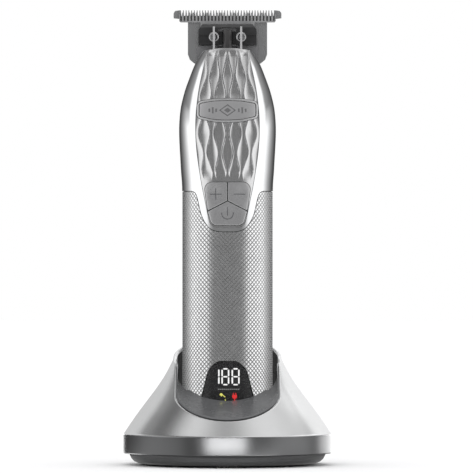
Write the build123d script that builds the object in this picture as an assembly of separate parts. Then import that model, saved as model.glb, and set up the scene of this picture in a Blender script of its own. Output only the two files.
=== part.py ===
from build123d import *
import math
import os

# Cordless body groomer (T-blade trimmer) standing in its charging stand.
# Millimetres. +Z up, the user-facing front is -Y, left is -X, origin on the table
# plane at the centre of the stand. The handpiece lifts straight up out of the stand.

os.makedirs("parts", exist_ok=True)

SIDES = (-1, 1)          # left, right (or front, back)
GAP = 0.12               # parting gap between neighbouring covers

# Sizes shared by the stand and the handpiece
SLEEVE_R = 18.5
SLEEVE_INNER_R = 17.2
SLEEVE_Z0, SLEEVE_Z1 = 18.2, 112.55
SEAT_Z = 15.5            # face the handpiece stands on
HAND_Z0 = SEAT_Z + 0.06  # underside of the handpiece
PIN_X = 6.0              # charge pins and pads


# ---------------------------------------------------------------- helpers
def cyl(r, z0, z1, x=0.0, y=0.0):
    return Pos(x, y, (z0 + z1) / 2) * Cylinder(r, z1 - z0)


def cyl_y(r, y0, y1, x, z):
    return Pos(x, (y0 + y1) / 2, z) * Rot(90, 0, 0) * Cylinder(r, y1 - y0)


def box(x0, x1, y0, y1, z0, z1):
    """Box between two corners; x0 and x1 may come in either order."""
    return Pos((x0 + x1) / 2, (y0 + y1) / 2, (z0 + z1) / 2) * Box(abs(x1 - x0), y1 - y0, z1 - z0)


def mid_box(half, y0, y1, z0, z1):
    """Box centred on X = 0."""
    return box(-half, half, y0, y1, z0, z1)


def ring(r0, r1, z0, z1, x=0.0, y=0.0):
    return cyl(r1, z0, z1, x, y) - cyl(r0, z0 - 1, z1 + 1, x, y)


def turned(points):
    """Solid of revolution about Z from (r, z) points."""
    return revolve(make_face(Polyline(*[(r, 0, z) for r, z in points], close=True)), axis=Axis.Z)


def poly_xz(points, y):
    return make_face(Polyline(*[(x, y, z) for x, z in points], close=True))


def forward(face, depth=30):
    """Extrude a face towards the front."""
    return extrude(face, amount=depth, dir=(0, -1, 0))


def plate_xz(points, y0, y1):
    return forward(poly_xz(points, y1), y1 - y0)


def prism_x(points, half):
    """Prism along X, centred on X = 0, from (y, z) points."""
    face = make_face(Polyline(*[(half, y, z) for y, z in points], close=True))
    return extrude(face, amount=2 * half, dir=(-1, 0, 0))


def mirrored(right):
    """Outline closed by the mirror image of its right half; rows start with x."""
    return right + [(-x, *rest) for x, *rest in reversed(right) if x]


def solid_of(shape):
    """The largest solid of a shape."""
    return max(shape.solids(), key=lambda s: s.volume)


def group(shapes):
    return Compound(children=[solid_of(s) for s in shapes])


def swept(path, radius):
    """Round rod along a path."""
    return sweep(Plane(origin=path @ 0, z_dir=path % 0) * Circle(radius), path=path)


def screw(place, length, head_r, head_h, shank_r, slot_half=0.22):
    """Cross-slotted pan head screw; the head starts at place, the shank follows its +Z."""
    reach = head_r * 0.62
    slot_z = (-1, 0.45 * head_h)
    cross = box(-reach, reach, -slot_half, slot_half, *slot_z)
    cross += box(-slot_half, slot_half, -reach, reach, *slot_z)
    return place * solid_of(cyl(head_r, 0, head_h) + cyl(shank_r, head_h, length) - cross)


def grown(points, amount):
    """Corners of a clockwise polygon with every side moved out by amount."""
    def outward(start, end):
        dx, dz = end[0] - start[0], end[1] - start[1]
        length = math.hypot(dx, dz)
        return -dz / length, dx / length

    result = []
    for i, corner in enumerate(points):
        x1, z1 = outward(points[i - 1], corner)
        x2, z2 = outward(corner, points[(i + 1) % len(points)])
        k = amount / (1 + x1 * x2 + z1 * z2)
        result.append((corner[0] + (x1 + x2) * k, corner[1] + (z1 + z2) * k))
    return result


def rounded(corners, grow=0.0):
    """Face in the XZ plane from clockwise (x, z, radius) corners, grown by grow."""
    spots = [Vector(x, 0, z) for x, z in grown([row[:2] for row in corners], grow)]
    arcs = []
    for i, corner in enumerate(spots):
        back = (spots[i - 1] - corner).normalized()
        ahead = (spots[(i + 1) % len(spots)] - corner).normalized()
        radius = corners[i][2] + grow
        half_angle = math.radians(back.get_angle(ahead) / 2)
        run = radius / math.tan(half_angle)
        inward = (back + ahead).normalized()
        middle = corner + inward * (radius / math.sin(half_angle)) - inward * radius
        arcs.append((corner + back * run, middle, corner + ahead * run))
    edges = []
    for i, arc in enumerate(arcs):
        edges.append(ThreePointArc(*arc))
        following = arcs[(i + 1) % len(arcs)][0]
        if (following - arc[2]).length > 1e-6:
            edges.append(Line(arc[2], following))
    return make_face(Wire(edges))


def tongue(half, grow, top):
    """Face in the XZ plane hung from a straight edge at z = top. Its right half
    runs down through half to the bottom centre, the left half mirrors it."""
    curve = Spline(*[(x, 0, z) for x, z in mirrored(half)])
    steps = 56
    points = []
    for i in range(steps + 1):
        p, t = curve @ (i / steps), curve % (i / steps)
        points.append((p.X - t.Z * grow, p.Z + t.X * grow))
    # even out the two halves
    for i in range(steps // 2 + 1):
        j = steps - i
        x = (points[i][0] - points[j][0]) / 2
        z = (points[i][1] + points[j][1]) / 2
        points[i], points[j] = (x, z), (-x, z)
    (x0, z0), (x1, z1) = points[0], points[-1]
    side = Spline(*[(x, 0, z) for x, z in points])
    lid = Polyline((x1, 0, z1), (x1, 0, top), (x0, 0, top), (x0, 0, z0))
    return make_face(Wire([side, *lid.edges()]))


# ---------------------------------------------------------------- stand shell and cup
COLLAR_R = 22.3          # outer radius of the collar round the handpiece
COLLAR_TOP = 54.0
CONE_FOOT = (43.0, 12.7)
# r, z up the curved flank, from the foot to the collar
CONE = [(42.6, 13.0), (36.75, 21.6), (30.95, 29.3), (25.4, 37.5), (COLLAR_R, 43.6)]
RIM_Z, RIM_SLOPE = 44.6, 0.32   # top edge of the collar at the axis, rising to the back
WELL_HALF = 21.4         # half width of the front opening in the shell
CUP_R = WELL_HALF - 0.1
CUP_Z0 = 13.5
LINER_HALF = 20.7        # half width of the well inside the cup
SEAT_BORE_R = 18.9       # bore that guides the handpiece
WELL_FLOOR_Z = 26.4      # well floor at the front of the handpiece
WELL_ROUND = 4.0         # height of the elliptical bottom of the well
LIP_SLOPE = 0.36         # front lip falls away from the handpiece
LIP_DIR = Vector(0, -1, -LIP_SLOPE).normalized()
BOSSES = [(15.0 * math.cos(math.radians(a)), 15.0 * math.sin(math.radians(a)))
          for a in (45, 135, 225, 315)]

# r, z profiles, each closed through the axis
SHELL_HOLLOW = [(40.2, 12.0), (34.3, 20.9), (28.6, 28.6), (23.2, 36.6), (WELL_HALF, 39.4),
                (WELL_HALF, 60), (0, 60), (0, 12.0)]
CUP_OUTER = [(38.6, CUP_Z0), (33.4, 21.2), (27.8, 28.9), (22.6, 36.8), (CUP_R, 39.8),
             (CUP_R, 60), (0, 60), (0, CUP_Z0)]
APRON_OUTER = [(41.6, 14.0), (36.3, 21.7), (30.5, 29.4), (24.9, 37.6), (22.0, 43.3),
               (22.0, 60), (0, 60), (0, 14.0)]
UNDERCUT_OUTER = [(38.2, 10.0), (32.2, 19.4), (26.4, 27.0), (21.0, 34.6), (0, 34.6), (0, 10.0)]


def well_tool(half, lift):
    """The open front of the well, from the handpiece axis out past the lip:
    vertical sides, elliptical bottom raised by lift."""
    half -= 0.1
    bottom = WELL_FLOOR_Z + lift + LIP_SLOPE * SLEEVE_R
    angles = [math.pi * i / 28 for i in range(29)]
    rim = [(-half * math.cos(a), bottom + WELL_ROUND * (1 - math.sin(a))) for a in angles]
    return extrude(poly_xz([*rim, (half, 110), (-half, 110)], 0), amount=66, dir=LIP_DIR)


def above_rim(lower):
    """Everything above the sloped top edge of the collar, lowered by lower."""
    edge = [(y, RIM_Z - lower + RIM_SLOPE * y) for y in (-60, 30)]
    return prism_x([*edge, (30, 120), (-60, 120)], 60)


def stand_shell():
    corners = [(COLLAR_R, 0, 43.6), (COLLAR_R, 0, COLLAR_TOP), (0, 0, COLLAR_TOP),
               (0, 0, CONE_FOOT[1]), (CONE_FOOT[0], 0, CONE_FOOT[1]), (CONE[0][0], 0, CONE[0][1])]
    edges = [Spline(*[(r, 0, z) for r, z in CONE])]
    edges += [Line(start, end) for start, end in zip(corners, corners[1:])]
    body = revolve(make_face(Wire(edges)), axis=Axis.Z)
    rim = above_rim(0.0) & mid_box(60, -7.5, 60, 0, 120)
    return solid_of(body - turned(SHELL_HOLLOW) - well_tool(WELL_HALF, 0.0) - rim)


def stand_cup():
    body = cyl(CUP_R, CUP_Z0, 60) + mid_box(CUP_R - 0.1, -60, 0, CUP_Z0, 60)
    body = body & turned(CUP_OUTER)
    # a thin apron carries the cup out over the cut edge of the shell
    apron = well_tool(CUP_R, 0.1) & mid_box(30, -60, -8.0, CUP_Z0, 46)
    apron = apron & turned(APRON_OUTER)
    body = (body + apron) - above_rim(0.7)
    body -= cyl(LINER_HALF, WELL_FLOOR_Z + 4.6, 90)
    body -= well_tool(LINER_HALF, 0.6)
    body -= cyl(SEAT_BORE_R, SEAT_Z, 90)
    # hollow under the lip
    top = WELL_FLOOR_Z - 2.2
    below_lip = poly_xz([(-30, -10), (30, -10), (30, top), (-30, top)], -SLEEVE_R)
    hollow = mid_box(18.6, -60, -21.2, 10, 90) & turned(UNDERCUT_OUTER)
    body -= hollow & extrude(below_lip, amount=60, dir=LIP_DIR)
    for sx in SIDES:
        body -= cyl(1.15, 10, 20, sx * PIN_X, 0)
    for x, y in BOSSES:
        body += cyl(3.0, 5.0, 13.4, x, y)
    for x, y in BOSSES:
        body -= cyl(1.15, 4.0, 12.4, x, y)
    return solid_of(body)


# ---------------------------------------------------------------- stand foot
BAND_R, BAND_INNER_R = 43.1, 40.6   # polished ring at the foot of the stand
BAND_Z0, BAND_Z1 = 4.8, 12.6
BAND = [(BAND_INNER_R, BAND_Z0), (42.5, BAND_Z0), (42.95, BAND_Z0 + 0.2),
        (BAND_R, BAND_Z0 + 0.7), (BAND_R, BAND_Z1 - 0.35), (BAND_R - 0.3, BAND_Z1),
        (BAND_INNER_R, BAND_Z1)]
BASE_R = 40.3
BASE_Z0, BASE_Z1 = 0.8, 4.7
# r, z: underside, rounded edge, then the low rim that stands up inside the band
BASE = [(0, BASE_Z0), (36.6, BASE_Z0), (38.4, 1.5), (39.5, 2.6), (BASE_R, 4.1),
        (BASE_R, BASE_Z1), (40.4, BASE_Z1), (40.4, 7.0), (39.2, 7.0), (39.2, BASE_Z1),
        (0, BASE_Z1)]
FOOT_R = 29.5
FOOT_PLACES = [Pos(FOOT_R * math.cos(math.radians(a)), FOOT_R * math.sin(math.radians(a)), 0)
               * Rot(0, 0, a + 90) for a in (-90, 0, 90, 180)]
BOARD_POSTS = [(-8, -6), (8, -6), (-8, 24), (8, 24)]
PCB_Z0, PCB_Z1 = 5.4, 6.6
USB_Z = 8.35


def stand_trim_ring():
    return solid_of(turned(BAND) - mid_box(4.9, 30, 50, 6.4, 10.4))


def stand_base_plate():
    body = turned(BASE) - mid_box(5.0, 30, 50, 6.3, 10.4)
    for place in FOOT_PLACES:
        pocket = extrude(SlotOverall(8.7, 4.2), amount=0.7, both=True)
        body -= place * (Pos(0, 0, 1.05) * pocket)
    for x, y in BOSSES:
        body -= cyl(2.7, 0, 2.6, x, y)
        body -= cyl(1.4, 0, 6, x, y)
    for x, y in BOARD_POSTS:
        body += cyl(1.6, BASE_Z1 - 0.1, PCB_Z0 - 0.05, x, y)
    return solid_of(body)


def stand_feet():
    """Slot-shaped pads, each with a groove across its underside."""
    return group(place * extrude(SlotOverall(8.4, 3.9), amount=1.6)
                 - place * (Pos(0, 0, 0.2) * Box(0.7, 6, 0.4)) for place in FOOT_PLACES)


def stand_screws():
    return group(screw(Pos(x, y, 1.0), 10.0, 2.3, 1.6, 1.1) for x, y in BOSSES)


def stand_circuit_board():
    body = mid_box(10, -9, 36.0, PCB_Z0, PCB_Z1)
    for x, y in BOSSES:
        body -= cyl(3.3, 4, 8, x, y)
    body += box(-7, -2, 14, 18, PCB_Z1 - 0.01, 8.2) + box(2, 6, 20, 26, PCB_Z1 - 0.01, 8.6)
    return solid_of(body)


def usb_slot(width, height, y, depth):
    """Slot-shaped bar running forward from y."""
    return Pos(0, y, USB_Z) * Rot(90, 0, 0) * extrude(SlotOverall(width, height), amount=depth)


def stand_usb_socket():
    can = usb_slot(9.0, 3.3, 42.8, 7.2) - usb_slot(8.4, 2.7, 43.8, 6.6)
    return solid_of(can + mid_box(3.3, 36.2, 41.8, USB_Z - 0.35, USB_Z + 0.35))


# ---------------------------------------------------------------- charge pins
PLUNGER_R = 1.0
PLUNGER_Z0, PLUNGER_Z1 = 10.6, 16.1


def charge_pin_barrels():
    return group(cyl(1.6, PCB_Z1 + 0.05, 12.6, sx * PIN_X) - cyl(1.05, 7.3, 20, sx * PIN_X)
                 for sx in SIDES)


def charge_pin(sx):
    x = sx * PIN_X
    body = cyl(PLUNGER_R, PLUNGER_Z0, PLUNGER_Z1, x)
    body += Pos(x, 0, PLUNGER_Z1 - 0.35) * Sphere(PLUNGER_R)
    return solid_of(body & cyl(PLUNGER_R, PLUNGER_Z0, 16.52, x))


def charge_pin_spring(sx):
    helix = Helix(pitch=0.62, height=3.1, radius=0.72, center=(sx * PIN_X, 0, 7.45))
    return solid_of(swept(helix, 0.13))


# ---------------------------------------------------------------- upper housing and its inlay
HOUSING_Z0, HOUSING_TOP = 112.7, 170.9
WALL = 1.8
DOME_R = 46.0
SEAT_CUT_Y = 1.5         # plane of the blade seat at the back of the neck
SEAT_CUT_Z = 164.2
# z, half width, front reach, back reach of the upper housing
SECTIONS = [
    (92.0, 18.72, 18.72, 18.72),
    (104.0, 18.72, 18.72, 18.72),
    (114.6, 18.74, 18.80, 18.72),
    (121.2, 19.16, 19.00, 18.60),
    (129.4, 19.64, 18.90, 18.00),
    (137.6, 19.92, 18.20, 16.60),
    (144.2, 19.58, 17.00, 14.70),
    (150.8, 18.42, 15.40, 12.60),
    (157.4, 16.40, 13.60, 10.40),
    (164.0, 13.84, 11.60, 8.20),
    (172.0, 10.20, 9.20, 6.20),
]
# x, z down the right side of the housing's front tongue
APRON_HALF = [(14.9, 112.75), (13.4, 112.15), (12.45, 110.4), (11.7, 107.4), (10.75, 103.4),
              (9.3, 100.1), (7.3, 97.6), (4.6, 96.3), (0, 96.05)]
APRON_TOP = 113.6
# x, z down the right side of the front panel
PANEL_HALF = [(8.5, 173.0), (9.0, 168.5), (10.2, 162.3), (11.5, 156.0), (12.5, 149.0),
              (13.05, 142.5), (13.15, 136.5), (12.7, 129.0), (11.45, 120.0), (10.2, 113.0),
              (8.6, 105.6), (7.75, 101.4), (6.9, 99.1), (5.3, 97.9), (3.0, 97.5), (0, 97.45)]
PANEL_TOP = 176.0
# x, z, corner radius of clockwise outlines
BUTTONS = mirrored([(9.75, 116.2, 2.9), (8.05, 104.2, 6.0), (6.35, 98.55, 2.6)])
BADGE = mirrored([(0, 150.6, 60), (6.0, 150.35, 20), (12.45, 149.3, 2.0),
                  (12.55, 142.5, 2.0), (6.0, 140.95, 20), (0, 140.65, 60)])


def body_loft(offset):
    """Outer form of the upper housing, grown by offset."""
    faces = []
    for z, half, front, back in SECTIONS:
        ellipse = Ellipse(half + offset, (back + front) / 2 + offset)
        faces.append(Pos(0, (back - front) / 2, z) * ellipse)
    return loft(faces)


outer = body_loft(0.0)
skin = outer - body_loft(-WALL)
dome = cyl_y(DOME_R, -40, 40, 0, HOUSING_TOP - DOME_R)
front_half = mid_box(40, -40, 0, 90, 190)


def upper_housing():
    region = mid_box(40, -40, 40, HOUSING_Z0, 190) + forward(tongue(APRON_HALF, 0.0, APRON_TOP))
    body = skin & region
    body = body - forward(tongue(PANEL_HALF, 0.1, PANEL_TOP))
    body = body - mid_box(40, SEAT_CUT_Y, 40, SEAT_CUT_Z, 190)
    return solid_of(body & dome)


def relief_panel():
    body = skin & forward(tongue(PANEL_HALF, 0.0, PANEL_TOP))
    body = body - forward(rounded(BUTTONS, 0.15))
    body = body - (forward(rounded(BADGE, 0.08)) - body_loft(-1.0))
    return solid_of(body & dome & front_half)


def badge_plate():
    body = (body_loft(0.45) - body_loft(-0.92)) & forward(rounded(BADGE))
    return solid_of(body & front_half)


# ---------------------------------------------------------------- buttons
SLIT = 0.16              # half the slit between the caps, which meet in a flat V
V_TOP, V_SIDE, V_X = 108.55, 103.95, 9.0
ZONE_X, ZONE_DROP = 14, 2.6    # outer end of the slit, and its fall beyond V_X
POST_FRONT_Y, POST_BACK_Y = -17.4, -14.0
PLUS_POST, MINUS_POST, POWER_POST = (-4.6, 111.6), (4.6, 111.6), (0.0, 102.6)

button_cluster = forward(rounded(BUTTONS)) & (outer - body_loft(-2.2)) & front_half


def button(zone, post):
    """The share of the cluster inside an (x, z) zone, with a post behind it."""
    cap = button_cluster & forward(poly_xz(zone, 0))
    cap += (cyl_y(1.3, POST_FRONT_Y, POST_BACK_Y, *post)
            & mid_box(40, POST_FRONT_Y, POST_BACK_Y, 90, 130))
    return solid_of(cap)


def upper_zone(sx):
    side_z = V_SIDE + SLIT
    return [(sx * SLIT, 120), (sx * SLIT, V_TOP + SLIT), (sx * V_X, side_z),
            (sx * ZONE_X, side_z - ZONE_DROP), (sx * ZONE_X, 120)]


def plus_button():
    return button(upper_zone(-1), PLUS_POST)


def minus_button():
    return button(upper_zone(1), MINUS_POST)


def power_button():
    side_z = V_SIDE - SLIT
    zone = [(0, V_TOP - SLIT), (V_X, side_z), (ZONE_X, side_z - ZONE_DROP), (ZONE_X, 90)]
    return button(mirrored(zone), POWER_POST)


# ---------------------------------------------------------------- sleeve, lens, bottom cap
LENS = mirrored([(4.2, 43.0, 4.4), (7.9, 39.6, 7.0), (12.7, 20.4, 1.2)])  # x, z, radius
CAP_Z1 = SLEEVE_Z0 - 0.1
CAP = [(0, HAND_Z0), (17.6, HAND_Z0), (18.1, HAND_Z0 + 0.2), (18.4, HAND_Z0 + 0.7),
       (18.4, CAP_Z1), (17.0, CAP_Z1), (17.0, 21.4), (15.2, 21.4), (15.2, 18.0), (0, 18.0)]
CAP_SCREW_Y = 11.0
CAP_SCREW_Z0, CAP_SCREW_Z1 = HAND_Z0 + 0.2, 21.6


def knurled_sleeve():
    body = ring(SLEEVE_INNER_R, SLEEVE_R, SLEEVE_Z0, SLEEVE_Z1)
    body = body - forward(tongue(APRON_HALF, GAP, APRON_TOP))
    return solid_of(body - forward(rounded(LENS, 0.1)))


def display_lens():
    return solid_of(ring(SLEEVE_R - 1.5, SLEEVE_R - 0.1, 19, 50) & forward(rounded(LENS)))


def bottom_cap():
    body = turned(CAP)
    body -= mid_box(14, -20, -12, 17.2, 30) & cyl(19, 18.05, 30)
    for sx in SIDES:
        body -= cyl(1.7, 15, 16.75, sx * PIN_X)
        body -= cyl(2.3, 16.7, 30, sx * PIN_X)
    for sy in SIDES:
        body -= cyl(2.2, 15, 16.4, 0, sy * CAP_SCREW_Y)
        body -= cyl(1.2, 15, 30, 0, sy * CAP_SCREW_Y)
    return solid_of(body)


def charge_pads():
    return group(cyl(2.2, 16.78, 17.6, sx * PIN_X) for sx in SIDES)


def cap_screws():
    length = CAP_SCREW_Z1 - CAP_SCREW_Z0
    return group(screw(Pos(0, sy * CAP_SCREW_Y, CAP_SCREW_Z0), length, 1.9, 0.6, 1.0)
                 for sy in SIDES)


# ---------------------------------------------------------------- inside the grip
MOTOR_Y = 0.4            # motor axis, parallel to Z
CHASSIS_R = 17.0
CHASSIS_Z0, CHASSIS_Z1 = 22.0, 111.0
CATCH_X = 13.0           # small blocks at the front edges of the chassis
BATTERY_Y, BATTERY_R = 3.4, 9.0
TAB_HALF, TAB_T = 3.2, 0.25
BOARD_Y0, BOARD_Y1 = -11.9, -10.5
KEY_Y0, KEY_Y1 = BOARD_Y0 - 0.66, BOARD_Y0 - 0.06


def chassis():
    # half tube with an end plate at each end
    body = ring(15.4, CHASSIS_R, CHASSIS_Z0, CHASSIS_Z1) & mid_box(20, -5.0, 20, 20, 130)
    body += cyl(CHASSIS_R, CHASSIS_Z0, 23.6) & mid_box(20, -12.6, 20, 20, 30)
    body += cyl(CHASSIS_R, 108.6, CHASSIS_Z1) & mid_box(20, -11.2, 20, 100, 120)
    # narrower half tube and plate above, under the motor
    narrow = cyl(16.4, CHASSIS_Z1, 124.0) - cyl(14.6, 110.0, 130.0)
    body += narrow & mid_box(20, -5.0, 20, 100, 130)
    body += cyl(16.0, 122.2, 124.6) & mid_box(20, -9.6, 20, 100, 130)
    # holes on the motor axis, for the cap screws and for the leads
    body -= cyl(3.0, 100, 130, 0, MOTOR_Y)
    for sy in SIDES:
        body -= cyl(1.05, 20, 30, 0, sy * CAP_SCREW_Y)
    for sx in SIDES:
        body -= cyl(1.6, 100, 130, sx * 7.5, 8.0)
    for sx in SIDES:
        body -= cyl(2.0, 20, 30, sx * 7.5, 3.0)
    for sx in SIDES:
        for z in (30, 90):
            catch = box(sx * CATCH_X - 1.0, sx * CATCH_X + 1.0, -10.4, -4.0, z, z + 4)
            body += catch & cyl(16.9, 20, 120)
    return solid_of(body)


def battery_cell():
    return solid_of(cyl(BATTERY_R, 32.0, 96.6, 0, BATTERY_Y) + cyl(3.0, 96.5, 97.6, 0, BATTERY_Y))


def battery_tabs():
    """L-shaped strips: flat across the cell end, then a leg along the cell's front."""
    bend_y = BATTERY_Y - 12.6
    tabs = []
    for flat_z, leg_z0, leg_z1 in ((97.7, 90.0, 97.95), (31.7, 31.7, 39.0)):
        flat = mid_box(TAB_HALF, bend_y, BATTERY_Y + 3.0, flat_z, flat_z + TAB_T)
        tabs.append(flat + mid_box(TAB_HALF, bend_y - TAB_T, bend_y, leg_z0, leg_z1))
    return group(tabs)


def main_board():
    body = mid_box(10.5, BOARD_Y0, BOARD_Y1, 24.5, 107.8)
    body += (mid_box(4, BOARD_Y1 - 0.01, BOARD_Y1 + 0.9, 50, 58)
             + box(3, 7, BOARD_Y0 - 1.2, BOARD_Y0 + 0.01, 60, 68)
             + box(-7, -3, BOARD_Y0 - 1.0, BOARD_Y0 + 0.01, 70, 75))
    return solid_of(body)


def key_board():
    body = mid_box(7.5, KEY_Y0, KEY_Y1, 99.6, 107.7) + mid_box(8.6, KEY_Y0, KEY_Y1, 107.6, 116.0)
    return solid_of(body)


def tact_switches():
    y = KEY_Y0 - 0.02
    return group(box(x - 2.2, x + 2.2, y - 0.4, y, z - 2.2, z + 2.2)
                 + cyl_y(0.9, POST_BACK_Y + 0.9, y, x, z)
                 for x, z in (PLUS_POST, MINUS_POST, POWER_POST))


# ---------------------------------------------------------------- display
MODULE_Y0 = -14.6
SCREEN_Y = MODULE_Y0 - 0.02    # back of the raised marks
MARK_T = 0.14
DIGIT_Z0, DIGIT_Z1 = 33.45, 40.25
DIGIT_MID = (DIGIT_Z0 + DIGIT_Z1) / 2
DIGITS = ((-2.15, 0.6), (2.0, 4.75))   # left and right stroke x of the full digits
ONE_X = -3.55                  # leading 1
STROKE = 0.95
GAUGE_X0, GAUGE_PITCH = -3.9, 0.9
# x, z outlines
OIL_ICON = [
    [(-3.3, 29.2), (-2.3, 28.5), (-1.7, 29.5), (-2.6, 30.2)],
    [(-1.75, 28.9), (-0.75, 28.1), (-1.0, 27.7), (-2.1, 28.5)],
    [(-1.25, 27.15), (-0.95, 27.5), (-0.7, 27.15), (-0.7, 26.85), (-1.25, 26.85)],
]
PLUG_ICON = [(2.0, 29.3), (2.45, 29.3), (2.45, 30.1), (2.75, 30.1), (2.75, 29.3), (3.15, 29.3),
             (3.15, 30.1), (3.45, 30.1), (3.45, 29.3), (3.9, 29.3), (3.9, 28.3), (3.4, 27.7),
             (3.2, 27.7), (3.2, 26.9), (2.7, 26.9), (2.7, 27.7), (2.5, 27.7), (2.0, 28.3)]


def display_module():
    return solid_of(mid_box(8.0, MODULE_Y0, BOARD_Y0 - 0.04, 24.6, 42.4)
                    - mid_box(5, -14.0, -11.0, 26.0, 41.0))


def mark(points):
    return forward(poly_xz(points, SCREEN_Y), MARK_T)


def segment(x0, z0, x1, z1, width):
    """Hexagonal stroke of a digit from (x0, z0) to (x1, z1)."""
    length = math.hypot(x1 - x0, z1 - z0)
    ux, uz = (x1 - x0) / length, (z1 - z0) / length
    half = width / 2
    start, end = 0.10, length - 0.10
    hexagon = [(start, 0), (start + half, half), (end - half, half),
               (end, 0), (end - half, -half), (start + half, -half)]
    return mark([(x0 + a * ux - b * uz, z0 + a * uz + b * ux) for a, b in hexagon])


def display_segments():
    strokes = []
    for x in (ONE_X, *DIGITS[0], *DIGITS[1]):
        strokes.append(segment(x, DIGIT_Z0 + 0.3, x, DIGIT_MID, STROKE))
        strokes.append(segment(x, DIGIT_MID, x, DIGIT_Z1 - 0.3, STROKE))
    for x0, x1 in DIGITS:
        for z in (DIGIT_Z0 + 0.15, DIGIT_MID, DIGIT_Z1 - 0.15):
            strokes.append(segment(x0 + 0.3, z, x1 - 0.3, z, STROKE * 0.8))
    return group(strokes)


def display_gauge():
    """Row of ten short dashes under the digits."""
    dashes = []
    for i in range(10):
        x = GAUGE_X0 + i * GAUGE_PITCH
        dashes.append(mark([(x, 31.5), (x + 0.55, 31.5), (x + 0.55, 31.75), (x, 31.75)]))
    return group(dashes)


def display_oil_icon():
    return group(mark(outline) for outline in OIL_ICON)


def display_plug_icon():
    return solid_of(mark(PLUG_ICON))


# ---------------------------------------------------------------- motor and drive
MOTOR_R = 10.0
MOTOR_Z0, MOTOR_Z1 = 126.0, 154.0
CAN_FLAT = 7.7           # half depth over the flats of the can
CAN_WALL = 0.8
BORE_R = 1.03            # bore of the armature and eccentric on the shaft
MOTOR_SCREW_X = 6.0
THROW = 0.75             # eccentric throw, so the cutter strokes +-0.75
PIN_R = 2.0
FORK_HALF = THROW + PIN_R + THROW + 0.1   # half gap of the drive fork


def axial(r, z0, z1):
    """Cylinder on the motor axis."""
    return cyl(r, z0, z1, 0, MOTOR_Y)


def flats(half):
    """Clip between the two flats of the motor."""
    return mid_box(20, MOTOR_Y - half, MOTOR_Y + half, 100, 170)


def motor_can():
    body = axial(MOTOR_R, MOTOR_Z0, MOTOR_Z1) & flats(CAN_FLAT)
    hollow = axial(MOTOR_R - CAN_WALL, MOTOR_Z0 - 1, MOTOR_Z1 - CAN_WALL)
    body = body - (hollow & flats(CAN_FLAT - CAN_WALL)) - axial(2.6, 150, 170)
    for sx in SIDES:
        body -= cyl(0.9, 150, 170, sx * MOTOR_SCREW_X, MOTOR_Y)
    return solid_of(body)


def motor_end_cap():
    body = axial(MOTOR_R - CAN_WALL - 0.05, MOTOR_Z0, MOTOR_Z0 + 2.4)
    body = body & flats(CAN_FLAT - CAN_WALL - 0.05)
    return solid_of(body - axial(2.3, 100, 170))


def motor_magnets():
    return group(ring(7.6, 9.1, 131, 151, 0, MOTOR_Y)
                 & box(sx * 4.0, sx * 12.0, MOTOR_Y - 5.6, MOTOR_Y + 5.6, 130, 160)
                 for sx in SIDES)


def motor_armature():
    body = axial(6.4, 133, 150)
    for degrees in (90, 210, 330):
        a = math.radians(degrees)
        place = Pos(5.9 * math.cos(a), MOTOR_Y + 5.9 * math.sin(a), 142) * Rot(0, 0, degrees)
        body -= place * Box(3.4, 1.4, 30)
    body += axial(2.6, 129.4, 133.1)
    return solid_of(body - axial(BORE_R, 100, 170))


def motor_shaft():
    return solid_of(axial(1.0, 125.4, 169.6))


def motor_bushings():
    return group([ring(1.04, 2.25, MOTOR_Z0 + 0.1, MOTOR_Z0 + 2.3, 0, MOTOR_Y),
                  ring(1.04, 2.55, MOTOR_Z1 - 2.0, MOTOR_Z1 + 0.6, 0, MOTOR_Y)])


def motor_bracket():
    clip = mid_box(40, -40, 40, MOTOR_Z1 + 0.06, MOTOR_Z1 + 1.6)
    body = body_loft(-WALL - 0.12) & clip
    body -= axial(2.7, 150, 170)
    for x, y in ((0, -9.5), (9.5, -5.0), (-9.5, -5.0)):
        body -= cyl(1.2, 150, 170, x, y)
    for sx in SIDES:
        body -= cyl(1.1, 150, 170, sx * MOTOR_SCREW_X, MOTOR_Y)
    return solid_of(body)


def motor_screws():
    return group(screw(Pos(sx * MOTOR_SCREW_X, MOTOR_Y, MOTOR_Z1 + 2.5) * Rot(180, 0, 0),
                       3.2, 1.6, 0.85, 0.85) for sx in SIDES)


def eccentric():
    body = axial(3.3, 163.4, 170.2) + cyl(PIN_R, 170.1, 179.0, 0, MOTOR_Y - THROW)
    body -= axial(BORE_R, 150, 169.8)
    body -= box(2.2, 6, -10, 10, 163, 167)
    return solid_of(body)


# ---------------------------------------------------------------- head block and blades
FIXED_HALF, STEM_HALF = 22.25, 16.35
CUT_HALF = 19.9
FIXED_Y0, FIXED_Y1 = 4.9, 6.5
CUT_Y0, CUT_Y1 = 3.55, 4.85
TIP_Z = 187.4
FIXED_PITCH, CUT_PITCH = 1.14, 1.42
WING_HALF = 12.6
BLADE_SCREW_X, BLADE_SCREW_Z = 7.4, 168.4   # threaded into the mount from behind
DRIVE_SCREW_X, DRIVE_SCREW_Z = 5.9, 176.1
SPRING_X, LEG_Y = 5.6, -4.05                # tension springs and their legs
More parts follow.
